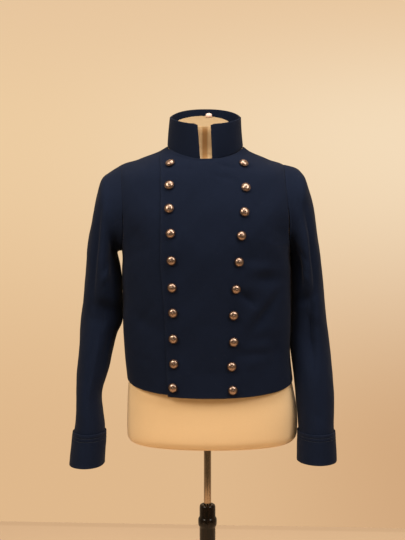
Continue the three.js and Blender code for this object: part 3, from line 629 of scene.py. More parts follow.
def finish_panel(name, outer, inner, free, sewn, closed=False, start_column=0):
    """Rounds the free edges of a panel, sinks each sewn one by its depth and makes its shell"""
    wear = np.zeros(outer.shape[:2])
    thickness = np.linalg.norm(outer - inner, axis=-1).max()
    free_lines = [(line, line_distance(outer, line)) for line in free]
    sewn_lines = [(depth, line_distance(outer, line)) for line, depth in sewn]
    for _, distance in free_lines:
        outer, inner = round_edge(outer, inner, distance, thickness / 2)
        wear = np.maximum(wear, 1 - smooth(distance, 0, WEAR_REACH))
    for depth, distance in sewn_lines:
        outer, inner = sink_seam(outer, inner, distance, depth, SEAM_ROLL)
        off = np.abs(distance - SEAM_WEAR_PLACE)
        wear = np.maximum(wear, SEAM_WEAR * (1 - smooth(off, 0, SEAM_WEAR_REACH)))
    return shell(name, outer, inner, wear, closed, start_column)


def sleeve_surface(side, rings, folds):
    """A sleeve as a function of its place along the rings and the angle round it"""
    shoulder = body_point(np.float64(SHOULDER_POINT), np.float64(side * QUARTER))
    underarm = body_point(np.float64(UNDERARM), np.float64(side * QUARTER))
    first = (side * shoulder[0], shoulder[2], side * underarm[0], underarm[2], 0, 74)
    table = Table(SLEEVE, first, *rings)

    def ellipse(s, angle):
        """The sleeve as plain ellipses"""
        row = table.at(s)
        share = (1 + np.cos(angle)) / 2
        x = side * (row["inner_x"] + (row["outer_x"] - row["inner_x"]) * share)
        y = row["middle"] - row["depth"] * np.sin(angle)
        z = row["inner_z"] + (row["outer_z"] - row["inner_z"]) * share
        return np.stack([x, y, z], axis=-1)

    def outline(angle):
        """How far the armhole's edge lies from the first ellipse"""
        turned = np.mod(angle, 2 * np.pi)
        turn = np.abs(np.pi - turned)
        swing = np.where(turned <= np.pi, -ARMHOLE_FRONT, ARMHOLE_BACK) * np.sin(turn)
        edge = body_point(armhole_row(turn), side * (QUARTER + swing))
        return edge - ellipse(np.zeros_like(angle), angle)

    def plain(s, angle):
        """The sleeve without its folds, set into the armhole"""
        fade = (1 - smooth(s, 0, ARMHOLE_FADE))[..., None]
        return ellipse(s, angle) + outline(angle) * fade

    def relief(s, angle, point):
        """Folds, creases and waves of the sleeve"""
        row = table.at(s)
        radius = (row["depth"] + np.abs(row["outer_x"] - row["inner_x"]) / 2) / 2
        arc = np.radians(radius)
        turned = np.mod(np.degrees(angle), 360) * arc
        lines = [(a1 * arc, z1, a2 * arc, z2) for a1, z1, a2, z2 in folds.values[:, :4]]
        total = fold_sum(turned, point[..., 2], lines, folds.values[:, 4], folds.values[:, 5])
        wave = wave_sum(point[..., 1] * 1.3 + side * 40, point[..., 2])
        return (total + wave) * smooth(s, 0.5, 2)

    def body_side(y, z):
        """How far out the body's side is at a depth and a height"""
        t = np.full_like(y, 4.0)
        for _ in range(6):
            row = BODY_RINGS.at(t)
            depth = np.where(y < 0, row["front"], row["back"])
            share = np.clip(np.abs(y) / depth, 0, 1) ** (row["shape"] / 2)
            angle = side * np.where(y < 0, np.arccos(share), np.pi - np.arccos(share))
            point = ring_point(row, angle)
            climb = (ring_point(BODY_RINGS.at(t + 0.1), angle)[..., 2] - point[..., 2]) / 0.1
            t = np.clip(t + (z - point[..., 2]) / climb, 0, SHOULDER_POINT)
        return side * point[..., 0]

    def surface(s, angle):
        """The sleeve's outer side, kept clear of the body"""
        point = plain(s, angle)
        normal = normal_of(plain, s, angle, 0.02, 0.05) * side
        point = point + normal * relief(s, angle, point)[..., None]
        near = (point[..., 2] < underarm[2] + PUSH_HEIGHT) & (np.cos(angle) < 0.3)
        least = body_side(point[..., 1], point[..., 2]) + SLEEVE_CLEARANCE * np.minimum(1, s * 2)
        x = np.where(near, np.maximum(side * point[..., 0], least), side * point[..., 0])
        return np.stack([side * x, point[..., 1], point[..., 2]], axis=-1)

    def walls(s, angle, lift, thickness):
        """Outer and inner points of a cloth that lies off the sleeve's surface"""
        normal = normal_of(surface, s, angle, 0.03, 0.06) * side
        point = surface(s, angle)
        lift = np.asarray(lift)[..., None]
        return point + normal * lift, point + normal * (lift - thickness)

    return walls


def sleeve_rows():
    """Places along the sleeve, closest at the armhole"""
    start = np.array([0.0, 0.02, 0.05, 0.1, 0.17, 0.26, 0.38, 0.5, 0.65, 0.8])
    crown = np.linspace(1, 8, 78)
    arm = np.linspace(8, CUFF_TOP, 74)[1:]
    end = np.linspace(CUFF_TOP, SLEEVE_END, 8)[1:]
    return np.concatenate([start, crown, arm, end])


def make_sleeve_piece(side, part):
    """One cut piece of a sleeve: the top one round the outside or the under one towards the body"""
    walls = SLEEVES[side]
    if part == "top_sleeve":
        start = BACK_SEAM - 2 * math.pi
        angles = start + graded(TOP_SLEEVE_WIDTH, SLEEVE_STEP) * (FRONT_SEAM - start)
    else:
        angles = FRONT_SEAM + graded(UNDER_SLEEVE_WIDTH, SLEEVE_STEP) * (BACK_SEAM - FRONT_SEAM)
    s, angle = np.meshgrid(sleeve_rows(), angles, indexing="ij")
    outer, inner = walls(s, angle, 0.0, CLOTH)
    head = SEAM_SINK if side == "left" else FLAT_SINK
    sewn = [(outer[0].copy(), head), (outer[:, 0].copy(), FLAT_SINK), (outer[:, -1].copy(), FLAT_SINK)]
    piece = finish_panel(f"jacket_{side}_{part}", outer, inner, [outer[-1].copy()], sewn,
                         start_column=len(angles) // 2)
    return finish_cloth(piece, f"{side}_{part}")


def finish_cloth(piece, node):
    """Gives the finished cloth its wool and hangs it in the place of its CAD node"""
    piece.data.materials.append(wool_material())
    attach(piece, BODY)
    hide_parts(node)
    return piece


# Node trees

def feed(tree, socket, value):
    """Gives a socket a link or a value"""
    if isinstance(value, bpy.types.NodeSocket):
        tree.links.new(value, socket)
    else:
        socket.default_value = value


def add_node(tree, kind, inputs=None, **settings):
    """Adds a shader node, with its settings and its inputs as values or links"""
    node = tree.nodes.new(kind)
    for name, value in settings.items():
        setattr(node, name, value)
    for name, value in (inputs or {}).items():
        feed(tree, node.inputs[name], value)
    return node


def maths(tree, operation, first, second=0.0, clamp=False):
    """Adds a Math node and gives its output"""
    node = add_node(tree, "ShaderNodeMath", {0: first, 1: second}, operation=operation, use_clamp=clamp)
    return node.outputs[0]


def ramp(tree, value, low, high):
    """Maps a value from low..high to 0..1, softly"""
    node = add_node(tree, "ShaderNodeMapRange",
                    {"Value": value, "From Min": low, "From Max": high}, interpolation_type="SMOOTHSTEP")
    return node.outputs["Result"]


def mix_colours(tree, factor, first, second):
    """Adds a Mix node for colours and gives its output"""
    node = tree.nodes.new("ShaderNodeMix")
    node.data_type = "RGBA"
    for place, value in ((0, factor), (6, first), (7, second)):
        feed(tree, node.inputs[place], value)
    return node.outputs[2]


def new_group(name, inputs, outputs):
    """A node group with named inputs and outputs, and its two end nodes"""
    group = bpy.data.node_groups.new(name, "ShaderNodeTree")
    for label, kind, default in inputs:
        socket = group.interface.new_socket(label, in_out="INPUT", socket_type=kind)
        if default is not None:
            socket.default_value = default
    for label, kind in outputs:
        group.interface.new_socket(label, in_out="OUTPUT", socket_type=kind)
    return group, group.nodes.new("NodeGroupInput"), group.nodes.new("NodeGroupOutput")


def use_group(tree, group, inputs):
    """Places a node group in a tree"""
    return add_node(tree, "ShaderNodeGroup", inputs, node_tree=group)


def weave_group():
    """Threads of a weave or knit under a nap of fibres, from lengths along the cloth"""
    if "Cloth Threads" in bpy.data.node_groups:
        return bpy.data.node_groups["Cloth Threads"]
    group, start, end = new_group(
        "Cloth Threads",
        (("Cut", "NodeSocketVector", None), ("Place", "NodeSocketVector", None),
         ("Pitch", "NodeSocketFloat", 0.001), ("Slant", "NodeSocketFloat", 1.0),
         ("Threads", "NodeSocketFloat", 0.5), ("Nap", "NodeSocketFloat", 0.5)),
        (("Height", "NodeSocketFloat"), ("Fibre", "NodeSocketFloat")),
    )
    cut = add_node(group, "ShaderNodeSeparateXYZ", {0: start.outputs["Cut"]})
    turn = maths(group, "DIVIDE", 2 * math.pi, start.outputs["Pitch"])
    fuzz = add_node(group, "ShaderNodeTexNoise",
                    {"Vector": start.outputs["Place"], "Scale": 420.0, "Detail": 2.0})
    wobble = maths(group, "MULTIPLY", fuzz.outputs["Fac"], 3.0)
    leaning = maths(group, "MULTIPLY", cut.outputs["X"], start.outputs["Slant"])
    line = maths(group, "MULTIPLY", maths(group, "ADD", leaning, cut.outputs["Y"]), turn)
    rib = maths(group, "SINE", maths(group, "ADD", line, wobble))
    warp = maths(group, "MULTIPLY", cut.outputs["X"], turn)
    cross = maths(group, "SINE", maths(group, "ADD", warp, wobble))
    threads = maths(group, "ADD", maths(group, "MULTIPLY", rib, 0.3), maths(group, "MULTIPLY", cross, 0.2))
    fibre = add_node(group, "ShaderNodeTexNoise",
                     {"Vector": start.outputs["Place"], "Scale": 1500.0, "Detail": 4.0, "Roughness": 0.7})
    height = maths(group, "ADD", maths(group, "MULTIPLY", threads, start.outputs["Threads"]),
                   maths(group, "MULTIPLY", fibre.outputs["Fac"], start.outputs["Nap"]))
    group.links.new(height, end.inputs["Height"])
    group.links.new(fibre.outputs["Fac"], end.inputs["Fibre"])
    return group


def mottle_group():
    """Broad and fine patches of lighter and darker colour, by place"""
    if "Mottling" in bpy.data.node_groups:
        return bpy.data.node_groups["Mottling"]
    group, start, end = new_group(
        "Mottling",
        (("Place", "NodeSocketVector", None), ("Color", "NodeSocketColor", (1, 1, 1, 1)),
         ("Broad", "NodeSocketFloat", 12.0), ("Fine", "NodeSocketFloat", 160.0),
         ("Amount", "NodeSocketFloat", 0.1)),
        (("Color", "NodeSocketColor"), ("Patch", "NodeSocketFloat")),
    )
    broad = add_node(group, "ShaderNodeTexNoise",
                     {"Vector": start.outputs["Place"], "Scale": start.outputs["Broad"], "Detail": 3.0})
    fine = add_node(group, "ShaderNodeTexNoise",
                    {"Vector": start.outputs["Place"], "Scale": start.outputs["Fine"], "Detail": 3.0})
    patch = maths(group, "ADD", maths(group, "MULTIPLY", broad.outputs["Fac"], 0.6),
                  maths(group, "MULTIPLY", fine.outputs["Fac"], 0.4))
    swing = maths(group, "MULTIPLY", maths(group, "SUBTRACT", patch, 0.5), start.outputs["Amount"])
    level = maths(group, "ADD", 1.0, maths(group, "MULTIPLY", swing, 2.0))
    scaled = add_node(group, "ShaderNodeVectorMath", {0: start.outputs["Color"]}, operation="SCALE")
    group.links.new(level, scaled.inputs["Scale"])
    group.links.new(scaled.outputs[0], end.inputs["Color"])
    group.links.new(patch, end.inputs["Patch"])
    return group


def specks_group():
    """Scattered small marks, such as lint on cloth or dust and fine scratches on a hard finish"""
    if "Specks" in bpy.data.node_groups:
        return bpy.data.node_groups["Specks"]
    group, start, end = new_group(
        "Specks",
        (("Place", "NodeSocketVector", None), ("Scale", "NodeSocketFloat", 200.0),
         ("Size", "NodeSocketFloat", 0.12), ("Share", "NodeSocketFloat", 0.2)),
        (("Mask", "NodeSocketFloat"),),
    )
    cells = add_node(group, "ShaderNodeTexVoronoi",
                     {"Vector": start.outputs["Place"], "Scale": start.outputs["Scale"]})
    chance = add_node(group, "ShaderNodeSeparateColor", {0: cells.outputs["Color"]})
    chosen = maths(group, "LESS_THAN", chance.outputs[0], start.outputs["Share"])
    near = maths(group, "LESS_THAN", cells.outputs["Distance"], start.outputs["Size"])
    group.links.new(maths(group, "MULTIPLY", chosen, near), end.inputs["Mask"])
    return group


def wear_group():
    """Broken-up rubbing along edges, from the piece's own wear attribute"""
    if "Edge Rubbing" in bpy.data.node_groups:
        return bpy.data.node_groups["Edge Rubbing"]
    group, start, end = new_group(
        "Edge Rubbing",
        (("Wear", "NodeSocketFloat", 0.0), ("Place", "NodeSocketVector", None),
         ("Amount", "NodeSocketFloat", 0.5)),
        (("Mask", "NodeSocketFloat"),),
    )
    patches = add_node(group, "ShaderNodeTexNoise",
                       {"Vector": start.outputs["Place"], "Scale": 90.0, "Detail": 4.0, "Roughness": 0.6})
    broken = ramp(group, patches.outputs["Fac"], 0.35, 0.7)
    mask = maths(group, "MULTIPLY", maths(group, "MULTIPLY", start.outputs["Wear"], broken),
                 start.outputs["Amount"])
    group.links.new(mask, end.inputs["Mask"])
    return group


def new_material(name):
    """A material with its Principled shader, and the Object coordinates of the piece"""
    material = bpy.data.materials.new(name)
    material.use_nodes = True
    tree = material.node_tree
    place = tree.nodes.new("ShaderNodeTexCoord").outputs["Object"]
    return material, tree, tree.nodes["Principled BSDF"], place


def set_sockets(shader, **values):
    """Sets constants on the shader's own sockets, by their names with _ for a space"""
    for name, value in values.items():
        shader.inputs[name.replace("_", " ")].default_value = value


def rgba(colour):
    """A colour with full opacity"""
    return (*colour, 1.0)


def add_bump(tree, shader, height, strength, distance):
    """Fine relief of a finish, its depth in metres"""
    bump = add_node(tree, "ShaderNodeBump", {"Strength": strength, "Distance": distance, "Height": height})
    tree.links.new(bump.outputs["Normal"], shader.inputs["Normal"])


def add_roughness(tree, shader, least, swing, pattern):
    """Roughness that follows a pattern, from its least value up"""
    rough = maths(tree, "ADD", least, maths(tree, "MULTIPLY", pattern, swing))
    tree.links.new(rough, shader.inputs["Roughness"])


def wool_material():
    """Milled navy wool: a low twill under a felted nap, soft sheen, lint and rubbed edges"""
    if "milled wool" in bpy.data.materials:
        return bpy.data.materials["milled wool"]
    settings = bpy.context.scene.jacket_cloth
    material, tree, shader, place = new_material("milled wool")
    cut = add_node(tree, "ShaderNodeUVMap", uv_map="cut").outputs["UV"]
    threads = use_group(tree, weave_group(), {
        "Cut": cut, "Place": place, "Pitch": settings.thread_pitch,
        "Slant": 0.7, "Threads": 0.55, "Nap": 1.1})
    mottled = use_group(tree, mottle_group(), {
        "Place": place, "Color": rgba(settings.colour), "Broad": 9.0, "Fine": 240.0, "Amount": 0.16})
    wear = add_node(tree, "ShaderNodeAttribute", attribute_name="wear").outputs["Fac"]
    rubbed = use_group(tree, wear_group(), {"Wear": wear, "Place": place, "Amount": 0.4})
    fibres = mix_colours(tree, ramp(tree, threads.outputs["Fibre"], 0.35, 0.75),
                         mottled.outputs["Color"], rgba(settings.fibre_colour))
    worn = mix_colours(tree, rubbed.outputs["Mask"], fibres, rgba(settings.rubbed_colour))
    lint = use_group(tree, specks_group(), {"Place": place, "Scale": 260.0, "Size": 0.09, "Share": 0.05})
    linted = mix_colours(tree, maths(tree, "MULTIPLY", lint.outputs["Mask"], 0.35), worn,
                         (0.2, 0.2, 0.22, 1))
    tree.links.new(linted, shader.inputs["Base Color"])
    add_roughness(tree, shader, 0.86, 0.14, threads.outputs["Fibre"])
    add_bump(tree, shader, threads.outputs["Height"], 0.55, 0.0005)
    set_sockets(shader, Sheen_Weight=0.045, Sheen_Roughness=0.35, Sheen_Tint=(0.85, 0.78, 0.68, 1),
                Specular_IOR_Level=0.1)
    return material


def thread_material():
    """Navy sewing thread, a little lighter than the cloth"""
    if "navy thread" in bpy.data.materials:
        return bpy.data.materials["navy thread"]
    material, tree, shader, place = new_material("navy thread")
    mottled = use_group(tree, mottle_group(), {
        "Place": place, "Color": (0.02, 0.026, 0.038, 1), "Broad": 60.0, "Fine": 900.0, "Amount": 0.25})
    tree.links.new(mottled.outputs["Color"], shader.inputs["Base Color"])
    add_roughness(tree, shader, 0.55, 0.2, mottled.outputs["Patch"])
    return material


def copper_material():
    """Polished copper-coloured metal with patches of tarnish, painted shade at its centre and rim, and dulled
    by handling
    """
    if "button copper" in bpy.data.materials:
        return bpy.data.materials["button copper"]
    settings = bpy.context.scene.jacket_buttons
    material, tree, shader, place = new_material("button copper")
    face = add_node(tree, "ShaderNodeUVMap", uv_map="face").outputs["UV"]
    radius = add_node(tree, "ShaderNodeVectorMath", {0: face}, operation="LENGTH").outputs["Value"]
    half = settings.diameter / 2
    # Painted shade: a darker centre stands in for the dark between two reflected highlights, and a darker rim
    # for the shaded edge. The noise patches are real tarnish.
    painted_dark_centre = maths(tree, "SUBTRACT", 1.0, ramp(tree, radius, 0.08 * half, 0.34 * half))
    rim = ramp(tree, radius, 0.74 * half, 0.98 * half)
    tarnish_noise = add_node(tree, "ShaderNodeTexNoise", {"Vector": place, "Scale": 700.0, "Detail": 4.0})
    patches = ramp(tree, tarnish_noise.outputs["Fac"], 0.4, 0.72)
    low = maths(tree, "MAXIMUM", maths(tree, "MULTIPLY", painted_dark_centre, 0.75), rim)
    tarnish_and_shade = maths(tree, "MULTIPLY", maths(tree, "ADD", low, maths(tree, "MULTIPLY", patches, 0.45)), 0.8,
                    clamp=True)
    mottled = use_group(tree, mottle_group(), {
        "Place": place, "Color": rgba(settings.metal_colour), "Broad": 60.0, "Fine": 500.0, "Amount": 0.12})
    colour = mix_colours(tree, tarnish_and_shade, mottled.outputs["Color"], rgba(settings.tarnish_and_shade_colour))
    tree.links.new(colour, shader.inputs["Base Color"])
    add_roughness(tree, shader, 0.33, 0.25, tarnish_and_shade)
    add_bump(tree, shader, tarnish_noise.outputs["Fac"], 0.2, 0.0002)
    set_sockets(shader, Metallic=1.0)
    return material


def jersey_material():
    """Cream cotton jersey: fine wales of knit, stretched over the form, with painted shade on the neck and on
    its top
    """
    if "cream jersey" in bpy.data.materials:
        return bpy.data.materials["cream jersey"]
    settings = bpy.context.scene.dress_form
    material, tree, shader, place = new_material("cream jersey")
    cut = add_node(tree, "ShaderNodeUVMap", uv_map="cut").outputs["UV"]
    knit = use_group(tree, weave_group(), {
        "Cut": cut, "Place": place, "Pitch": 0.0011, "Slant": 0.0, "Threads": 0.9, "Nap": 0.4})
    mottled = use_group(tree, mottle_group(), {
        "Place": place, "Color": rgba(settings.colour), "Broad": 6.0, "Fine": 220.0, "Amount": 0.05})
    shaded = mix_colours(tree, ramp(tree, knit.outputs["Fibre"], 0.3, 0.8), mottled.outputs["Color"],
                         rgba(settings.thread_colour))
    # Painted shade: the neck darkens above 1.41 m where the collar's shadow falls on it, most down its middle
    parts = add_node(tree, "ShaderNodeSeparateXYZ", {0: place})
    height = parts.outputs["Z"]
    side = maths(tree, "ABSOLUTE", maths(tree, "ADD", parts.outputs["X"], 0.006))
    shade_streak = maths(tree, "SUBTRACT", 1.0, maths(tree, "MULTIPLY", ramp(tree, side, 0.003, 0.009), 0.6))
    neck_shade = maths(tree, "MULTIPLY", ramp(tree, height, 1.41, 1.46), shade_streak)
    shadowed = mix_colours(tree, neck_shade, shaded, rgba(settings.neck_shade_colour))
    # Painted shade on the neck's top, which dims it where the top lamp lights it
    top_shaded = mix_colours(tree, ramp(tree, height, 1.512, 1.524), shadowed, rgba(settings.top_shade_colour))
    tree.links.new(top_shaded, shader.inputs["Base Color"])
    add_roughness(tree, shader, 0.78, 0.15, knit.outputs["Fibre"])
    add_bump(tree, shader, knit.outputs["Height"], 0.35, 0.0003)
    set_sockets(shader, Sheen_Weight=0.15, Sheen_Roughness=0.5, Specular_IOR_Level=0.3)
    return material


def knob_material():
    """Painted wood with a satin finish and a little grime"""
    if "painted knob" in bpy.data.materials:
        return bpy.data.materials["painted knob"]
    settings = bpy.context.scene.dress_form
    material, tree, shader, place = new_material("painted knob")
    mottled = use_group(tree, mottle_group(), {
        "Place": place, "Color": rgba(settings.knob_colour), "Broad": 90.0, "Fine": 600.0, "Amount": 0.2})
    tree.links.new(mottled.outputs["Color"], shader.inputs["Base Color"])
    add_roughness(tree, shader, 0.4, 0.3, mottled.outputs["Patch"])
    add_bump(tree, shader, mottled.outputs["Patch"], 0.2, 0.0003)
    return material


def chrome_material():
    """Bright drawn steel with fine scratches along the rod, its warm brown tint a painted reflection of the
    warm room
    """
    if "drawn steel" in bpy.data.materials:
        return bpy.data.materials["drawn steel"]
    settings = bpy.context.scene.form_stand
    material, tree, shader, place = new_material("drawn steel")
    stretched = add_node(tree, "ShaderNodeMapping", {"Vector": place, "Scale": (1, 1, 0.03)}).outputs[0]
    scratches = add_node(tree, "ShaderNodeTexNoise", {"Vector": stretched, "Scale": 2600.0, "Detail": 4.0})
    mottled = use_group(tree, mottle_group(), {
        # The rod's warm brown colour is a painted reflection of the warm room
        "Place": place, "Color": rgba(settings.rod_and_reflection_colour), "Broad": 40.0, "Fine": 400.0, "Amount": 0.08})
    tree.links.new(mottled.outputs["Color"], shader.inputs["Base Color"])
    add_roughness(tree, shader, 0.14, 0.16, scratches.outputs["Fac"])
    add_bump(tree, shader, scratches.outputs["Fac"], 0.12, 0.0001)
    set_sockets(shader, Metallic=1.0)
    return material


def lacquer_material():
    """Turned wood under very dark gloss lacquer, with grain, dust and rubbed edges"""
    if "dark lacquer" in bpy.data.materials:
        return bpy.data.materials["dark lacquer"]
    settings = bpy.context.scene.form_stand
    material, tree, shader, place = new_material("dark lacquer")
    stretched = add_node(tree, "ShaderNodeMapping", {"Vector": place, "Scale": (1, 1, 0.08)}).outputs[0]
    grain = add_node(tree, "ShaderNodeTexNoise",
                     {"Vector": stretched, "Scale": 240.0, "Detail": 6.0, "Distortion": 0.6})
    mottled = use_group(tree, mottle_group(), {
        "Place": place, "Color": rgba(settings.lacquer_colour), "Broad": 20.0, "Fine": 200.0, "Amount": 0.2})
    wood = mix_colours(tree, ramp(tree, grain.outputs["Fac"], 0.45, 0.7), mottled.outputs["Color"],
                       rgba(settings.grain_colour))
    dust = use_group(tree, specks_group(), {"Place": place, "Scale": 420.0, "Size": 0.1, "Share": 0.04})
    dusty = mix_colours(tree, maths(tree, "MULTIPLY", dust.outputs["Mask"], 0.2), wood, (0.2, 0.17, 0.14, 1))
    tree.links.new(dusty, shader.inputs["Base Color"])
    add_roughness(tree, shader, 0.2, 0.2, mottled.outputs["Patch"])
    add_bump(tree, shader, grain.outputs["Fac"], 0.15, 0.0003)
    set_sockets(shader, Coat_Weight=0.3, Coat_Roughness=0.06, Specular_IOR_Level=0.1)
    return material


# Turned pieces, shaped in edit mode

def turned(name, rings, segments):
    """A turned piece about Z: a circle, drawn up ring by ring, closed at both ends. Radii and heights are
    in metres."""
    bpy.ops.object.select_all(action="DESELECT")
    first_radius, first_height = rings[0]
    bpy.ops.mesh.primitive_circle_add(vertices=segments, radius=first_radius, fill_type="NGON",
                                      location=(0, 0, first_height))
    piece = bpy.context.active_object
    piece.name = name
    piece.data.name = name
    bpy.ops.object.transform_apply(location=True, rotation=True, scale=True)
    bpy.ops.object.mode_set(mode="EDIT")
    bpy.ops.mesh.select_all(action="SELECT")
    radius, height = rings[0]
    for next_radius, next_height in rings[1:]:
        bpy.ops.mesh.extrude_region_move(TRANSFORM_OT_translate={"value": (0, 0, next_height - height)})
        share = next_radius / radius
        bpy.ops.transform.resize(value=(share, share, 1), center_override=(0, 0, next_height))
        radius, height = next_radius, next_height
    bpy.ops.mesh.select_all(action="SELECT")
    bpy.ops.mesh.normals_make_consistent(inside=False)
    bpy.ops.object.mode_set(mode="OBJECT")
    bpy.ops.object.shade_smooth_by_angle(angle=math.radians(38))
    return piece


def button_rings(half):
    """The profile of a button: shank, back, rolled rim, dome with a raised ring, and a small boss"""
    rim_radius, rim_height = 0.0006, 0.0029
    dome_low, dome_high = 0.0033, 0.0073
    ring_height, ring_place, ring_width = 0.00028, 0.52, 0.05
    rings = [(0.18 * half, 0.0), (0.25 * half, 0.00005), (0.25 * half, 0.0016), (0.3 * half, 0.0018)]
    rings += [(0.9 * half, 0.0021), (0.97 * half, 0.0023)]
    for turn in range(0, 9):
        angle = -QUARTER + math.pi * turn / 8
        rings.append((0.96 * half + rim_radius * math.cos(angle), rim_height + rim_radius * math.sin(angle)))
    rings += [(0.9 * half, 0.00345), (0.87 * half, dome_low)]
    for step in range(1, 14):
        share = step / 16
        across = 0.87 * half * math.cos(share * QUARTER)
        up = dome_low + (dome_high - dome_low) * math.sin(share * QUARTER)
        raised = ring_height * math.exp(-(((across / half) - ring_place) / ring_width) ** 2)
        rings.append((across, up + raised))
    rings += [(0.2 * half, 0.00726), (0.18 * half, 0.0077), (0.13 * half, 0.0081), (0.05 * half, 0.0082)]
    return rings


def planar_uv(piece, name):
    """Gives each corner its X and Y as its UV"""
    mesh = piece.data
    for layer in list(mesh.uv_layers):
        mesh.uv_layers.remove(layer)
    layer = mesh.uv_layers.new(name=name)
    for loop in mesh.loops:
        point = mesh.vertices[loop.vertex_index].co
        layer.data[loop.index].uv = (point.x, point.y)


def button_place(x, z):
    """Where a button sits on the left front: its point and the cloth's normal"""
    low, high = 0.0, float(NECK)
    for _ in range(34):
        t = np.float64((low + high) / 2)
        point = left_front_wall(t, angle_at_x(BODY_RINGS.at(t), x))[0]
        if point[2] < z:
            low = t
        else:
            high = t
    t = np.float64(low)
    angle = angle_at_x(BODY_RINGS.at(t), x)
    return Vector(left_front_wall(t, angle)[0] * MM), Vector(body_normal(t, angle))


def finish_hard(piece, nodes, material):
    """Gives a hard piece its finish, and sets it in the place of its CAD nodes"""
    piece.data.materials.clear()
    piece.data.materials.append(material)
    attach(piece, BODY)
    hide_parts(*nodes)
    return piece


# What a user would change

def colour_setting(name, description, default):
    """A colour that a user can change"""
    return bpy.props.FloatVectorProperty(name=name, description=description, subtype="COLOR", default=default)


def length_setting(name, description, default):
    """A length that a user can change"""
    return bpy.props.FloatProperty(name=name, description=description, unit="LENGTH", default=default)


class JacketCloth(bpy.types.PropertyGroup):
    """Cloth of the jacket"""

    thread_pitch: length_setting("Thread pitch", "Distance from one twill line to the next", 0.0013)
    colour: colour_setting("Cloth colour", "Colour of the milled wool", (0.005, 0.0088, 0.0225))
    fibre_colour: colour_setting("Fibre colour", "Colour of the raised fibres", (0.0065, 0.011, 0.0268))
    rubbed_colour: colour_setting(
        "Rubbed colour", "Colour of the nap where edges are rubbed", (0.0125, 0.017, 0.032))


class JacketButtons(bpy.types.PropertyGroup):
    """Buttons of the jacket"""

    diameter: length_setting("Diameter", "Diameter of a button", 0.0192)
    metal_colour: colour_setting("Metal", "Colour of the polished metal", (0.40, 0.275, 0.21))
    # Colour of the tarnish patches and of the painted shade at each button's centre and rim
    tarnish_and_shade_colour: colour_setting("Tarnish", "Colour of the low, darkened places", (0.04, 0.018, 0.01))


class DressForm(bpy.types.PropertyGroup):
    """The limbless dress form"""

    colour: colour_setting("Jersey", "Colour of the jersey cover", (0.87, 0.615, 0.345))
    thread_colour: colour_setting("Jersey shade", "Colour between the threads", (0.8, 0.545, 0.285))
    # Painted shade for the neck, where the collar's shadow falls on it
    neck_shade_colour: colour_setting("Neck", "Colour of the jersey that collars have soiled", (0.33, 0.16, 0.05))
    # Painted shade for the neck's top, which dims it under the top lamp
    top_shade_colour: colour_setting(
        "Neck top", "Colour of the worn jersey on top of the neck", (0.33, 0.22, 0.107))
    knob_colour: colour_setting("Knob", "Colour of the small knob", (0.86, 0.62, 0.54))


class FormStand(bpy.types.PropertyGroup):
    """The rod, pole and base"""

    # The rod's warm brown tint is a painted reflection of the warm room
    rod_and_reflection_colour: colour_setting("Rod", "Colour of the steel rod", (0.42, 0.31, 0.21))
    lacquer_colour: colour_setting("Lacquer", "Colour of the lacquered wood", (0.006, 0.0035, 0.002))
    grain_colour: colour_setting("Grain", "Colour of the grain under the lacquer", (0.016, 0.008, 0.004))


class JacketStudio(bpy.types.PropertyGroup):
    """Floor, light and camera"""

    camera_distance: length_setting("Camera distance", "Distance of the camera from the pole", 2.0)
    camera_height: length_setting("Camera height", "Height of the camera", 1.3)
    camera_side: length_setting("Camera side", "The camera's place to the side", -0.011)
    lens: bpy.props.FloatProperty(name="Lens", description="Focal length in millimetres", default=60.6)
    floor_size: length_setting("Floor size", "Side of the square floor", 4.01)
    floor_colour: colour_setting("Floor", "Colour of the floor", (0.75, 0.545, 0.36))


# One operator for each piece or group of like pieces

class MakeLeftFront(bpy.types.Operator):
    """Make the wearer's left front, which laps over the right one"""

    bl_idname = "jacket.left_front"
    bl_label = "Left front"

    def execute(self, context):
        t = body_rows()
        row = BODY_RINGS.at(t)
        edge = angle_at_x(row, row["edge"])
        outer, inner = left_front_wall(*spread(t, edge, side_angle(t, ARMHOLE_FRONT), FRONT_WIDTH))
        top_free = outer.shape[1] * 2 // 3
        free = [outer[:, 0].copy(), outer[0].copy(), outer[-1, :top_free].copy()]
        sewn = [(outer[:, -1].copy(), SEAM_SINK), (outer[-1, top_free:].copy(), SEAM_SINK)]
        piece = finish_panel("jacket_left_front", outer, inner, free, sewn)
        finish_cloth(piece, "left_front")
        return {"FINISHED"}


class MakeRightFront(bpy.types.Operator):
    """Make the wearer's right front, which runs on under the left one"""

    bl_idname = "jacket.right_front"
    bl_label = "Right front"

    def execute(self, context):
        t = body_rows()
        t = np.where(t < UNDERARM, UNDERLAP_HEM + t * (UNDERARM - UNDERLAP_HEM) / UNDERARM, t)
        row = BODY_RINGS.at(t)
        side = -side_angle(t, ARMHOLE_FRONT)
        outer, inner = wall(*spread(t, side, angle_at_x(row, row["under"]), FRONT_WIDTH), 0)
        free = [outer[:, -1].copy(), outer[0].copy()]
        sewn = [(outer[:, 0].copy(), FLAT_SINK), (outer[-1].copy(), SEAM_SINK)]
        piece = finish_panel("jacket_right_front", outer, inner, free, sewn,
                             start_column=outer.shape[1] - 1)
        finish_cloth(piece, "right_front")
        return {"FINISHED"}


class MakeBack(bpy.types.Operator):
    """Make the back, one piece from side seam to side seam"""

    bl_idname = "jacket.back"
    bl_label = "Back"

    def execute(self, context):
        t = body_rows()
        side = math.pi - side_angle(t, ARMHOLE_BACK)
        outer, inner = wall(*spread(t, side, 2 * math.pi - side, BACK_WIDTH), 0)
        free = [outer[0].copy()]
        sewn = [(outer[:, 0].copy(), SEAM_SINK), (outer[:, -1].copy(), FLAT_SINK),
                (outer[-1].copy(), SEAM_SINK)]
        piece = finish_panel("jacket_back", outer, inner, free, sewn, start_column=outer.shape[1] // 2)
        finish_cloth(piece, "back")
        return {"FINISHED"}


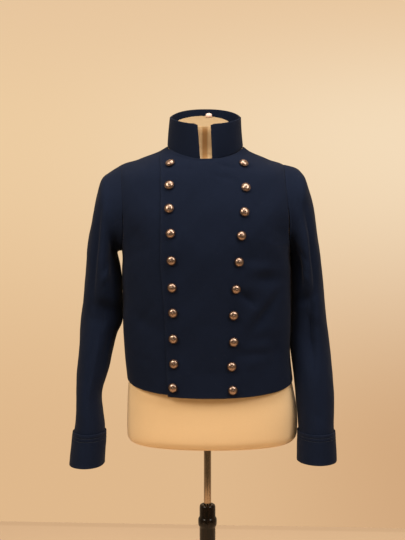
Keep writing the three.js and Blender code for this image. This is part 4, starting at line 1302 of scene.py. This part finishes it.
class MakeCollar(bpy.types.Operator):
    """Make the stand collar, open at the front in a slot"""

    bl_idname = "jacket.collar"
    bl_label = "Collar"

    def execute(self, context):
        foot = BODY_RINGS.row(NECK)
        for name in ("half", "front", "back"):
            foot[name] -= SEAM_GAP
        for name in ("z_front", "z_side", "z_back"):
            foot[name] += SEAM_GAP + 0.05

        def ring(v):
            """The collar's ring at a share of its height"""
            return {name: foot[name] + (COLLAR_TOP[name] - foot[name]) * v for name in COLLAR_TOP}

        def surface(v, angle):
            """The collar's outer side"""
            point = ring_point(ring(v), angle)
            up = np.clip(v, 0, 1)
            bow = COLLAR_BOW * np.sin(np.pi * up) * np.sin(3 * angle + 0.7)
            bow += COLLAR_WAVE * np.sin(5 * angle + 2) * up
            tucked = COLLAR_TUCK * np.clip(-v / COLLAR_ALLOWANCE, 0, 1)
            flat = point * (1, 1, 0)
            flat /= np.linalg.norm(flat, axis=-1, keepdims=True)
            return point + flat * (bow - tucked)[..., None]

        v = np.concatenate([[-COLLAR_ALLOWANCE, -COLLAR_ALLOWANCE / 2], graded(COLLAR_HEIGHT, COLLAR_STEP)])
        slot = {name: COLLAR_SLOT_FOOT[name] + (COLLAR_SLOT_TOP[name] - COLLAR_SLOT_FOOT[name]) * v
                for name in COLLAR_SLOT_FOOT}
        start = angle_at_x(ring(v), slot["left"])
        end = 2 * math.pi + angle_at_x(ring(v), slot["right"])
        v_grid, angles = spread(v, start, end, COLLAR_LENGTH)
        outer = surface(v_grid, angles)
        inner = outer - normal_of(surface, v_grid, angles, 0.02, 0.03) * COLLAR_CLOTH
        shares = graded(COLLAR_LENGTH, GRID_STEP)
        from_end = COLLAR_LENGTH * np.minimum(shares, 1 - shares)
        corner = COLLAR_CORNER * (1 - smooth(from_end, 0, 7))[None, :] * smooth(v, 0.85, 1)[:, None]
        outer[..., 2] -= corner
        inner[..., 2] -= corner
        free = [outer[:, 0].copy(), outer[:, -1].copy(), outer[-1].copy()]
        piece = finish_panel("jacket_collar", outer, inner, free, [(outer[2].copy(), SEAM_SINK)],
                             start_column=outer.shape[1] // 2)
        finish_cloth(piece, "collar")
        return {"FINISHED"}


class MakeSleeves(bpy.types.Operator):
    """Make both sleeves, each a top and an under sleeve"""

    bl_idname = "jacket.sleeves"
    bl_label = "Sleeves"

    def execute(self, context):
        for side in ("right", "left"):
            for part in ("top_sleeve", "under_sleeve"):
                make_sleeve_piece(side, part)
        return {"FINISHED"}


# Two rows of stitches round each cuff: distances below its top edge, their pitch and their size
STITCH_ROWS = (8.0, 15.0)
STITCH_PITCH = 3.0
STITCH_LENGTH = 2.1
STITCH_RADIUS = 0.24

# How far a stitch stands off the cloth, and how deep and wide the row that it draws in is
STITCH_LIFT = 0.05
STITCH_DIP = 0.5
STITCH_DIP_WIDTH = 1.1


def cuff_shares():
    """Places down the cuff, with closer ones at its edges and at both rows of stitches"""
    even = graded(CUFF_LENGTH, COLLAR_STEP) * CUFF_LENGTH
    near = [row + offset for row in STITCH_ROWS for offset in (-1.8, -1.1, -0.5, 0, 0.5, 1.1, 1.8)]
    clear = [value for value in even if min(abs(value - row) for row in STITCH_ROWS) > 2.2]
    return np.array(sorted(clear + near)) / CUFF_LENGTH


def make_stitches(side, model):
    """The stitches of one cuff, as one piece"""
    columns = round(CUFF_ROUND / STITCH_PITCH)
    angle = np.linspace(0, 2 * math.pi, columns + 1)[:-1]
    corners = np.array([vertex.co for vertex in model.data.vertices])
    polygons = [tuple(polygon.vertices) for polygon in model.data.polygons]
    points = []
    faces = []
    for row in STITCH_ROWS:
        s = np.full_like(angle, CUFF_TOP + row / CUFF_LENGTH * (CUFF_FOOT - CUFF_TOP))
        outer, inner = SLEEVES[side](s, angle, CUFF_GAP + CUFF_CLOTH, CUFF_CLOTH)
        ahead = SLEEVES[side](s, angle + 0.02, CUFF_GAP + CUFF_CLOTH, CUFF_CLOTH)[0]
        for place, back, front in zip(outer, inner, ahead):
            normal = Vector(place - back).normalized()
            along = Vector(front - place).normalized()
            across = normal.cross(along)
            turn = np.array((across, normal, along)).T
            start = place + np.array(normal) * STITCH_LIFT
            first = len(points)
            points += (corners @ turn.T + start * MM).tolist()
            faces += [[first + index for index in polygon] for polygon in polygons]
    piece = smooth_piece(f"jacket_{side}_cuff_stitches", points, faces)
    piece.data.materials.append(thread_material())
    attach(piece, BODY)


class MakeCuffs(bpy.types.Operator):
    """Make the turned-up cuffs and their stitching"""

    bl_idname = "jacket.cuffs"
    bl_label = "Cuffs"

    def execute(self, context):
        length = STITCH_LENGTH * MM
        radius = STITCH_RADIUS * MM
        rings = [(radius * 0.4, -length / 2), (radius, -length / 2 + radius), (radius, length / 2 - radius),
                 (radius * 0.4, length / 2)]
        model = turned("stitch_model", rings, 6)
        for side in ("right", "left"):
            s = CUFF_TOP + cuff_shares() * (CUFF_FOOT - CUFF_TOP)
            angles = np.linspace(0, 2 * math.pi, CUFF_COLUMNS + 1)[:-1]
            s_grid, angle = np.meshgrid(s, angles, indexing="ij")
            outer, inner = SLEEVES[side](s_grid, angle, CUFF_GAP + CUFF_CLOTH, CUFF_CLOTH)
            rims = [np.concatenate([outer[row], outer[row, :1]]) for row in (0, -1)]
            below = (s_grid - CUFF_TOP) / (CUFF_FOOT - CUFF_TOP) * CUFF_LENGTH
            dip = sum(STITCH_DIP * np.exp(-(((below - row) / STITCH_DIP_WIDTH) ** 2)) for row in STITCH_ROWS)
            across = (inner - outer) / np.linalg.norm(inner - outer, axis=-1, keepdims=True)
            outer = outer + across * dip[..., None]
            piece = finish_panel(f"jacket_{side}_cuff", outer, inner, rims, [], closed=True)
            finish_cloth(piece, f"{side}_cuff")
            make_stitches(side, model)
        bpy.data.objects.remove(model)
        return {"FINISHED"}


class MakeButtons(bpy.types.Operator):
    """Make one button and copy it to both rows"""

    bl_idname = "jacket.buttons"
    bl_label = "Buttons"

    def execute(self, context):
        half = context.scene.jacket_buttons.diameter / 2
        model = turned("button_model", button_rings(half), 40)
        planar_uv(model, "face")
        for side, places in BUTTONS.items():
            for number, (x, z) in enumerate(places, 1):
                point, normal = button_place(x, z)
                turn = normal.to_track_quat("Z", "Y").to_matrix().to_4x4()
                twist = Matrix.Rotation(BUTTON_TURN * number, 4, "Z")
                mesh = model.data.copy()
                mesh.transform(Matrix.Translation(point + normal * SEAM_GAP * MM) @ turn @ twist)
                piece = bpy.data.objects.new(f"jacket_{side}_button_{number:02d}", mesh)
                context.scene.collection.objects.link(piece)
                finish_hard(piece, [f"{side}_button_{number:02d}"], copper_material())
        bpy.data.objects.remove(model)
        return {"FINISHED"}


class MakeForm(bpy.types.Operator):
    """Make the dress form: hips, chest, shoulders and neck under a jersey cover"""

    bl_idname = "jacket.form"
    bl_label = "Dress form"

    def execute(self, context):
        angles = np.linspace(0, 2 * math.pi, FORM_COLUMNS + 1)
        rings = []

        def between(table, steps):
            """Rings of a table, with steps between its rows"""
            count = (len(table.values) - 1) * steps
            return [ring_point(table.at(np.full_like(angles, i / steps)), angles) for i in range(count + 1)]

        rings += between(FORM_HIPS, HIP_STEPS)
        for t in np.linspace(UNDERARM, NECK, CHEST_STEPS):
            looseness = 1 - smooth(t, ARMHOLE_MIDDLE, 8)
            face = np.cos(angles) ** 2 * FACE_EASE
            inset = CLOTH + SHOULDER_EASE + face + (CHEST_EASE - FACE_EASE) * looseness
            level = np.full_like(angles, t)
            normal = normal_of(plain_body, level, angles, 0.02, 0.03)
            rings.append(plain_body(level, angles) - normal * inset[..., None])
        rings += between(FORM_NECK, NECK_STEPS)
        grid = np.array(rings)
        piece = solid_of_rings("dress_form", grid)
        piece.data.materials.append(jersey_material())
        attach(piece, BODY)
        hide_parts("form_body")
        return {"FINISHED"}


def solid_of_rings(name, grid):
    """A closed body from rings whose last point repeats the first, with a cap at each end"""
    rows, columns = grid.shape[:2]
    across = columns - 1
    uv = grid_uv(grid, 0)
    points = (grid[:, :-1].reshape(-1, 3)) * MM
    index = np.arange(rows * across).reshape(rows, across)
    index = np.concatenate([index, index[:, :1]], axis=1)
    uv_index = np.arange(rows * columns).reshape(rows, columns)

    faces = corners(index).tolist()
    uvs = uv.reshape(-1, 2)[corners(uv_index).reshape(-1)].tolist()
    points = points.tolist()
    for row, order in ((0, -1), (rows - 1, 1)):
        middle = len(points)
        points.append(np.mean(grid[row, :-1] * MM, axis=0).tolist())
        for column in range(across):
            pair = (index[row, column], index[row, column + 1])[::order]
            faces.append([middle, *(int(i) for i in pair)])
            for i in (middle, *pair):
                uvs.append(list(points[i][:2]))
    piece = smooth_piece(name, points, faces)
    set_cut(piece.data, uvs)
    piece.data.update()
    return piece


# The knob's place on the neck's top, off its middle, and its height above the slanting top
KNOB_SIDE = 3
KNOB_BACK = 30
KNOB_LIFT = 1.1


class MakeKnob(bpy.types.Operator):
    """Make the small knob on the form's neck"""

    bl_idname = "jacket.knob"
    bl_label = "Knob"

    def execute(self, context):
        rings = [(0.005, 0.0), (0.006, 0.0002), (0.0068, 0.0009), (0.007, 0.0018), (0.007, 0.0042),
                 (0.0066, 0.0055), (0.0055, 0.0067), (0.0038, 0.0075), (0.0018, 0.0079)]
        piece = turned("form_knob_painted", rings, 32)
        rim = FORM_NECK.row(-1)
        slope = (rim["z_back"] - rim["z_side"]) / rim["back"]
        axis = Vector((0, -slope, 1)).normalized()
        seat = Vector((KNOB_SIDE, KNOB_BACK, rim["z_side"] + slope * KNOB_BACK)) + axis * KNOB_LIFT
        turn = axis.to_track_quat("Z", "Y").to_matrix().to_4x4()
        piece.data.transform(Matrix.Translation(seat * MM) @ turn)
        finish_hard(piece, ["form_knob"], knob_material())
        return {"FINISHED"}


class MakeRod(bpy.types.Operator):
    """Make the steel rod under the form"""

    bl_idname = "jacket.rod"
    bl_label = "Rod"

    def execute(self, context):
        low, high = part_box("stand_rod")
        radius = high.x
        rings = [(radius * 0.86, low.z), (radius * 0.96, low.z + 0.0004), (radius, low.z + 0.0012),
                 (radius, high.z - 0.0012), (radius * 0.96, high.z - 0.0004), (radius * 0.86, high.z)]
        piece = turned("stand_steel_rod", rings, 48)
        finish_hard(piece, ["stand_rod"], chrome_material())
        return {"FINISHED"}


# Radii and heights of the pole and its bore, from the foot up and down into the bore
POLE_BORE = 8.3
POLE_PROFILE = (
    (61, 28.3), (62, 29), (62, 35), (61.4, 36.3), (57, 38), (50, 41), (44, 44.5), (38, 50), (32, 57),
    (28, 63), (24.6, 71), (22, 80), (20.3, 89), (19, 100), (17.9, 114), (17.5, 124),
    (17.5, 300), (17.5, 480), (17.5, 646), (17.9, 648.5), (19.4, 650.5), (20.3, 653), (20.5, 656.5),
    (20.5, 661.5), (20.3, 665), (19.4, 667.5), (17.9, 669.5), (17.5, 672), (17.5, 690), (17.2, 693),
    (16.4, 695.4), (14.8, 696.8), (13, 697), (9.4, 697), (8.5, 696.6), (POLE_BORE, 695.8), (POLE_BORE, 639.7),
    (4, 639.7),
)


class MakePole(bpy.types.Operator):
    """Make the turned pole, with a bore that takes the rod"""

    bl_idname = "jacket.pole"
    bl_label = "Pole"

    def execute(self, context):
        rings = [(radius * MM, height * MM) for radius, height in POLE_PROFILE]
        piece = turned("stand_turned_pole", rings, 64)
        finish_hard(piece, ["stand_pole"], lacquer_material())
        return {"FINISHED"}


# Radii and heights of the base
BASE_PROFILE = (
    (120, 0), (196, 0), (198.6, 0.5), (199.7, 1.8), (200, 4), (200, 13), (199.6, 15.4), (198.3, 17.6),
    (196.4, 19.6), (193.6, 21.2), (190, 22.2), (184, 23), (172, 24.6), (160, 26.2), (154, 27.2),
    (148, 27.8), (140, 28), (80, 28), (20, 28),
)


class MakeBase(bpy.types.Operator):
    """Make the round base"""

    bl_idname = "jacket.base"
    bl_label = "Base"

    def execute(self, context):
        rings = [(radius * MM, height * MM) for radius, height in BASE_PROFILE]
        piece = turned("stand_round_base", rings, 96)
        finish_hard(piece, ["stand_base"], lacquer_material())
        return {"FINISHED"}


# How far the floor is turned, so that its far edge slants as shown, and the painted shadow line along that
# edge
FLOOR_TURN = -0.053
FLOOR_SHADOW = (0.4, 0.25, 0.14)
FLOOR_SHADOW_SHARE = 0.16

# The wall behind, at its left and its right: its upper part and its foot. It fades to one colour on top.
# These colours are painted light and shade: lighter at the upper right, darker at the foot, darkest at the
# right foot
WALL_UPPER = ((0.84, 0.60, 0.355), (0.90, 0.71, 0.49))
WALL_FOOT = ((0.74, 0.48, 0.262), (0.64, 0.391, 0.209))
WALL_TOP = (0.8, 0.56, 0.34)

# The light that the room gives from the front and from behind
ROOM_FRONT = (0.13, 0.1, 0.065)
ROOM_BEHIND = (0.52, 0.38, 0.24)

# Lamps: place, size, power in watts and colour. All of them point at the same height of the pole.
LAMPS = {
    "key_right": ((1.8, -1.6, 2.9), 1.2, 46, (1.0, 0.94, 0.86)),
    "key_left": ((-1.9, -1.5, 2.9), 1.2, 62, (1.0, 0.9, 0.76)),
    "top": ((0.2, -0.6, 3.3), 1.4, 44, (1.0, 0.95, 0.88)),
}
LAMP_AIM = Vector((0, 0, 1.2))

# The film's longer side in millimetres, and how far the lens is shifted, as a share of it
FILM = 36
LENS_SHIFT = -40 / 540


class MakeStage(bpy.types.Operator):
    """Set the floor, the backdrop, the lights and the camera"""

    bl_idname = "jacket.stage"
    bl_label = "Stage"

    def execute(self, context):
        studio = context.scene.jacket_studio
        bpy.ops.object.select_all(action="DESELECT")
        bpy.ops.mesh.primitive_plane_add(size=studio.floor_size, rotation=(0, 0, FLOOR_TURN))
        bpy.ops.object.transform_apply(location=True, rotation=True, scale=True)
        floor = context.active_object
        floor.name = "floor"
        material, tree, shader, place = new_material("pale floor")
        mottled = use_group(tree, mottle_group(), {
            "Place": place, "Color": rgba(studio.floor_colour), "Broad": 3.0, "Fine": 30.0, "Amount": 0.03})
        cut = add_node(tree, "ShaderNodeUVMap", uv_map="UVMap").outputs["UV"]
        # Painted shadow: a faint dark line along the floor's far edge, where it meets the wall
        far_shadow = ramp(tree, add_node(tree, "ShaderNodeSeparateXYZ", {0: cut}).outputs["Y"], 0.984, 0.99)
        shadow_lined = mix_colours(tree, maths(tree, "MULTIPLY", far_shadow, FLOOR_SHADOW_SHARE), mottled.outputs["Color"],
                            rgba(FLOOR_SHADOW))
        tree.links.new(shadow_lined, shader.inputs["Base Color"])
        tree.links.new(shadow_lined, shader.inputs["Emission Color"])
        set_sockets(shader, Roughness=0.8, Specular_IOR_Level=0.2, Emission_Strength=0.2)
        floor.data.materials.append(material)
        self.set_world(context)
        self.set_lights(context)
        self.set_camera(context)
        return {"FINISHED"}

    def set_world(self, context):
        """The wall that the camera sees behind, and the light that the room gives"""
        world = bpy.data.worlds.new("studio")
        context.scene.world = world
        world.use_nodes = True
        tree = world.node_tree
        tree.nodes.clear()
        parts = add_node(tree, "ShaderNodeSeparateXYZ",
                         {0: add_node(tree, "ShaderNodeTexCoord").outputs["Generated"]})
        # Painted light and shade on the wall: lighter at the upper right, darker at its foot
        across = ramp(tree, parts.outputs["X"], -0.25, 0.25)
        upper = mix_colours(tree, across, rgba(WALL_UPPER[0]), rgba(WALL_UPPER[1]))
        beyond = ramp(tree, parts.outputs["X"], -0.02, 0.26)
        foot = mix_colours(tree, beyond, rgba(WALL_FOOT[0]), rgba(WALL_FOOT[1]))
        both = mix_colours(tree, ramp(tree, parts.outputs["Z"], -0.24, 0.1), foot, upper)
        faded = mix_colours(tree, ramp(tree, parts.outputs["Z"], 0.1, 0.28), both, rgba(WALL_TOP))
        seen = add_node(tree, "ShaderNodeBackground", {"Color": faded, "Strength": 1.0})
        around = mix_colours(tree, ramp(tree, parts.outputs["Y"], -0.7, 0.8),
                             rgba(ROOM_FRONT), rgba(ROOM_BEHIND))
        room = add_node(tree, "ShaderNodeBackground", {"Color": around, "Strength": 1.0})
        to_camera = add_node(tree, "ShaderNodeLightPath").outputs["Is Camera Ray"]
        mixed = add_node(tree, "ShaderNodeMixShader",
                         {0: to_camera, 1: room.outputs[0], 2: seen.outputs[0]})
        add_node(tree, "ShaderNodeOutputWorld", {"Surface": mixed.outputs[0]})

    def set_lights(self, context):
        """The lamps"""
        for name, (place, size, power, colour) in LAMPS.items():
            lamp = bpy.data.lights.new(name, "AREA")
            lamp.energy = power
            lamp.size = size
            lamp.color = colour
            holder = bpy.data.objects.new(name, lamp)
            holder.location = place
            aim = LAMP_AIM - Vector(place)
            holder.rotation_euler = aim.to_track_quat("-Z", "Y").to_euler()
            context.scene.collection.objects.link(holder)

    def set_camera(self, context):
        """The camera, level and in front"""
        studio = context.scene.jacket_studio
        data = bpy.data.cameras.new("camera")
        data.lens = studio.lens
        data.sensor_width = FILM
        data.shift_y = LENS_SHIFT
        camera = bpy.data.objects.new("camera", data)
        camera.location = (studio.camera_side, -studio.camera_distance, studio.camera_height)
        camera.rotation_euler = (QUARTER, 0, 0)
        context.scene.collection.objects.link(camera)
        context.scene.camera = camera
        context.scene.view_settings.view_transform = "Standard"


class JacketPanel(bpy.types.Panel):
    """Lists the pieces of the jacket and the stage"""

    bl_idname = "VIEW3D_PT_jacket"
    bl_label = "Stable Jacket"
    bl_space_type = "VIEW_3D"
    bl_region_type = "UI"
    bl_category = "Jacket"

    def draw(self, context):
        for operator in OPERATORS:
            self.layout.operator(operator.bl_idname)
        for name, group in SETTINGS.items():
            box = self.layout.box()
            for prop in group.__annotations__:
                box.prop(getattr(context.scene, name), prop)


SETTINGS = {
    "jacket_cloth": JacketCloth,
    "jacket_buttons": JacketButtons,
    "dress_form": DressForm,
    "form_stand": FormStand,
    "jacket_studio": JacketStudio,
}
OPERATORS = (MakeStage, MakeLeftFront, MakeRightFront, MakeBack, MakeCollar, MakeSleeves, MakeCuffs,
             MakeButtons, MakeForm, MakeKnob, MakeRod, MakePole, MakeBase)
CLASSES = (*SETTINGS.values(), *OPERATORS, JacketPanel)
SLEEVES = {
    "right": sleeve_surface(-1, RIGHT_SLEEVE_RINGS, RIGHT_SLEEVE_FOLDS),
    "left": sleeve_surface(1, LEFT_SLEEVE_RINGS, LEFT_SLEEVE_FOLDS),
}


def register():
    for item in CLASSES:
        bpy.utils.register_class(item)
    for name, group in SETTINGS.items():
        setattr(bpy.types.Scene, name, bpy.props.PointerProperty(type=group))


def unregister():
    for name in SETTINGS:
        delattr(bpy.types.Scene, name)
    for item in reversed(CLASSES):
        bpy.utils.unregister_class(item)


def main():
    """Makes the stage and every piece"""
    register()
    bpy.ops.jacket.stage()
    bpy.ops.jacket.left_front()
    bpy.ops.jacket.right_front()
    bpy.ops.jacket.back()
    bpy.ops.jacket.collar()
    bpy.ops.jacket.sleeves()
    bpy.ops.jacket.cuffs()
    bpy.ops.jacket.buttons()
    bpy.ops.jacket.form()
    bpy.ops.jacket.knob()
    bpy.ops.jacket.rod()
    bpy.ops.jacket.pole()
    bpy.ops.jacket.base()


if __name__ == "__main__":
    main()
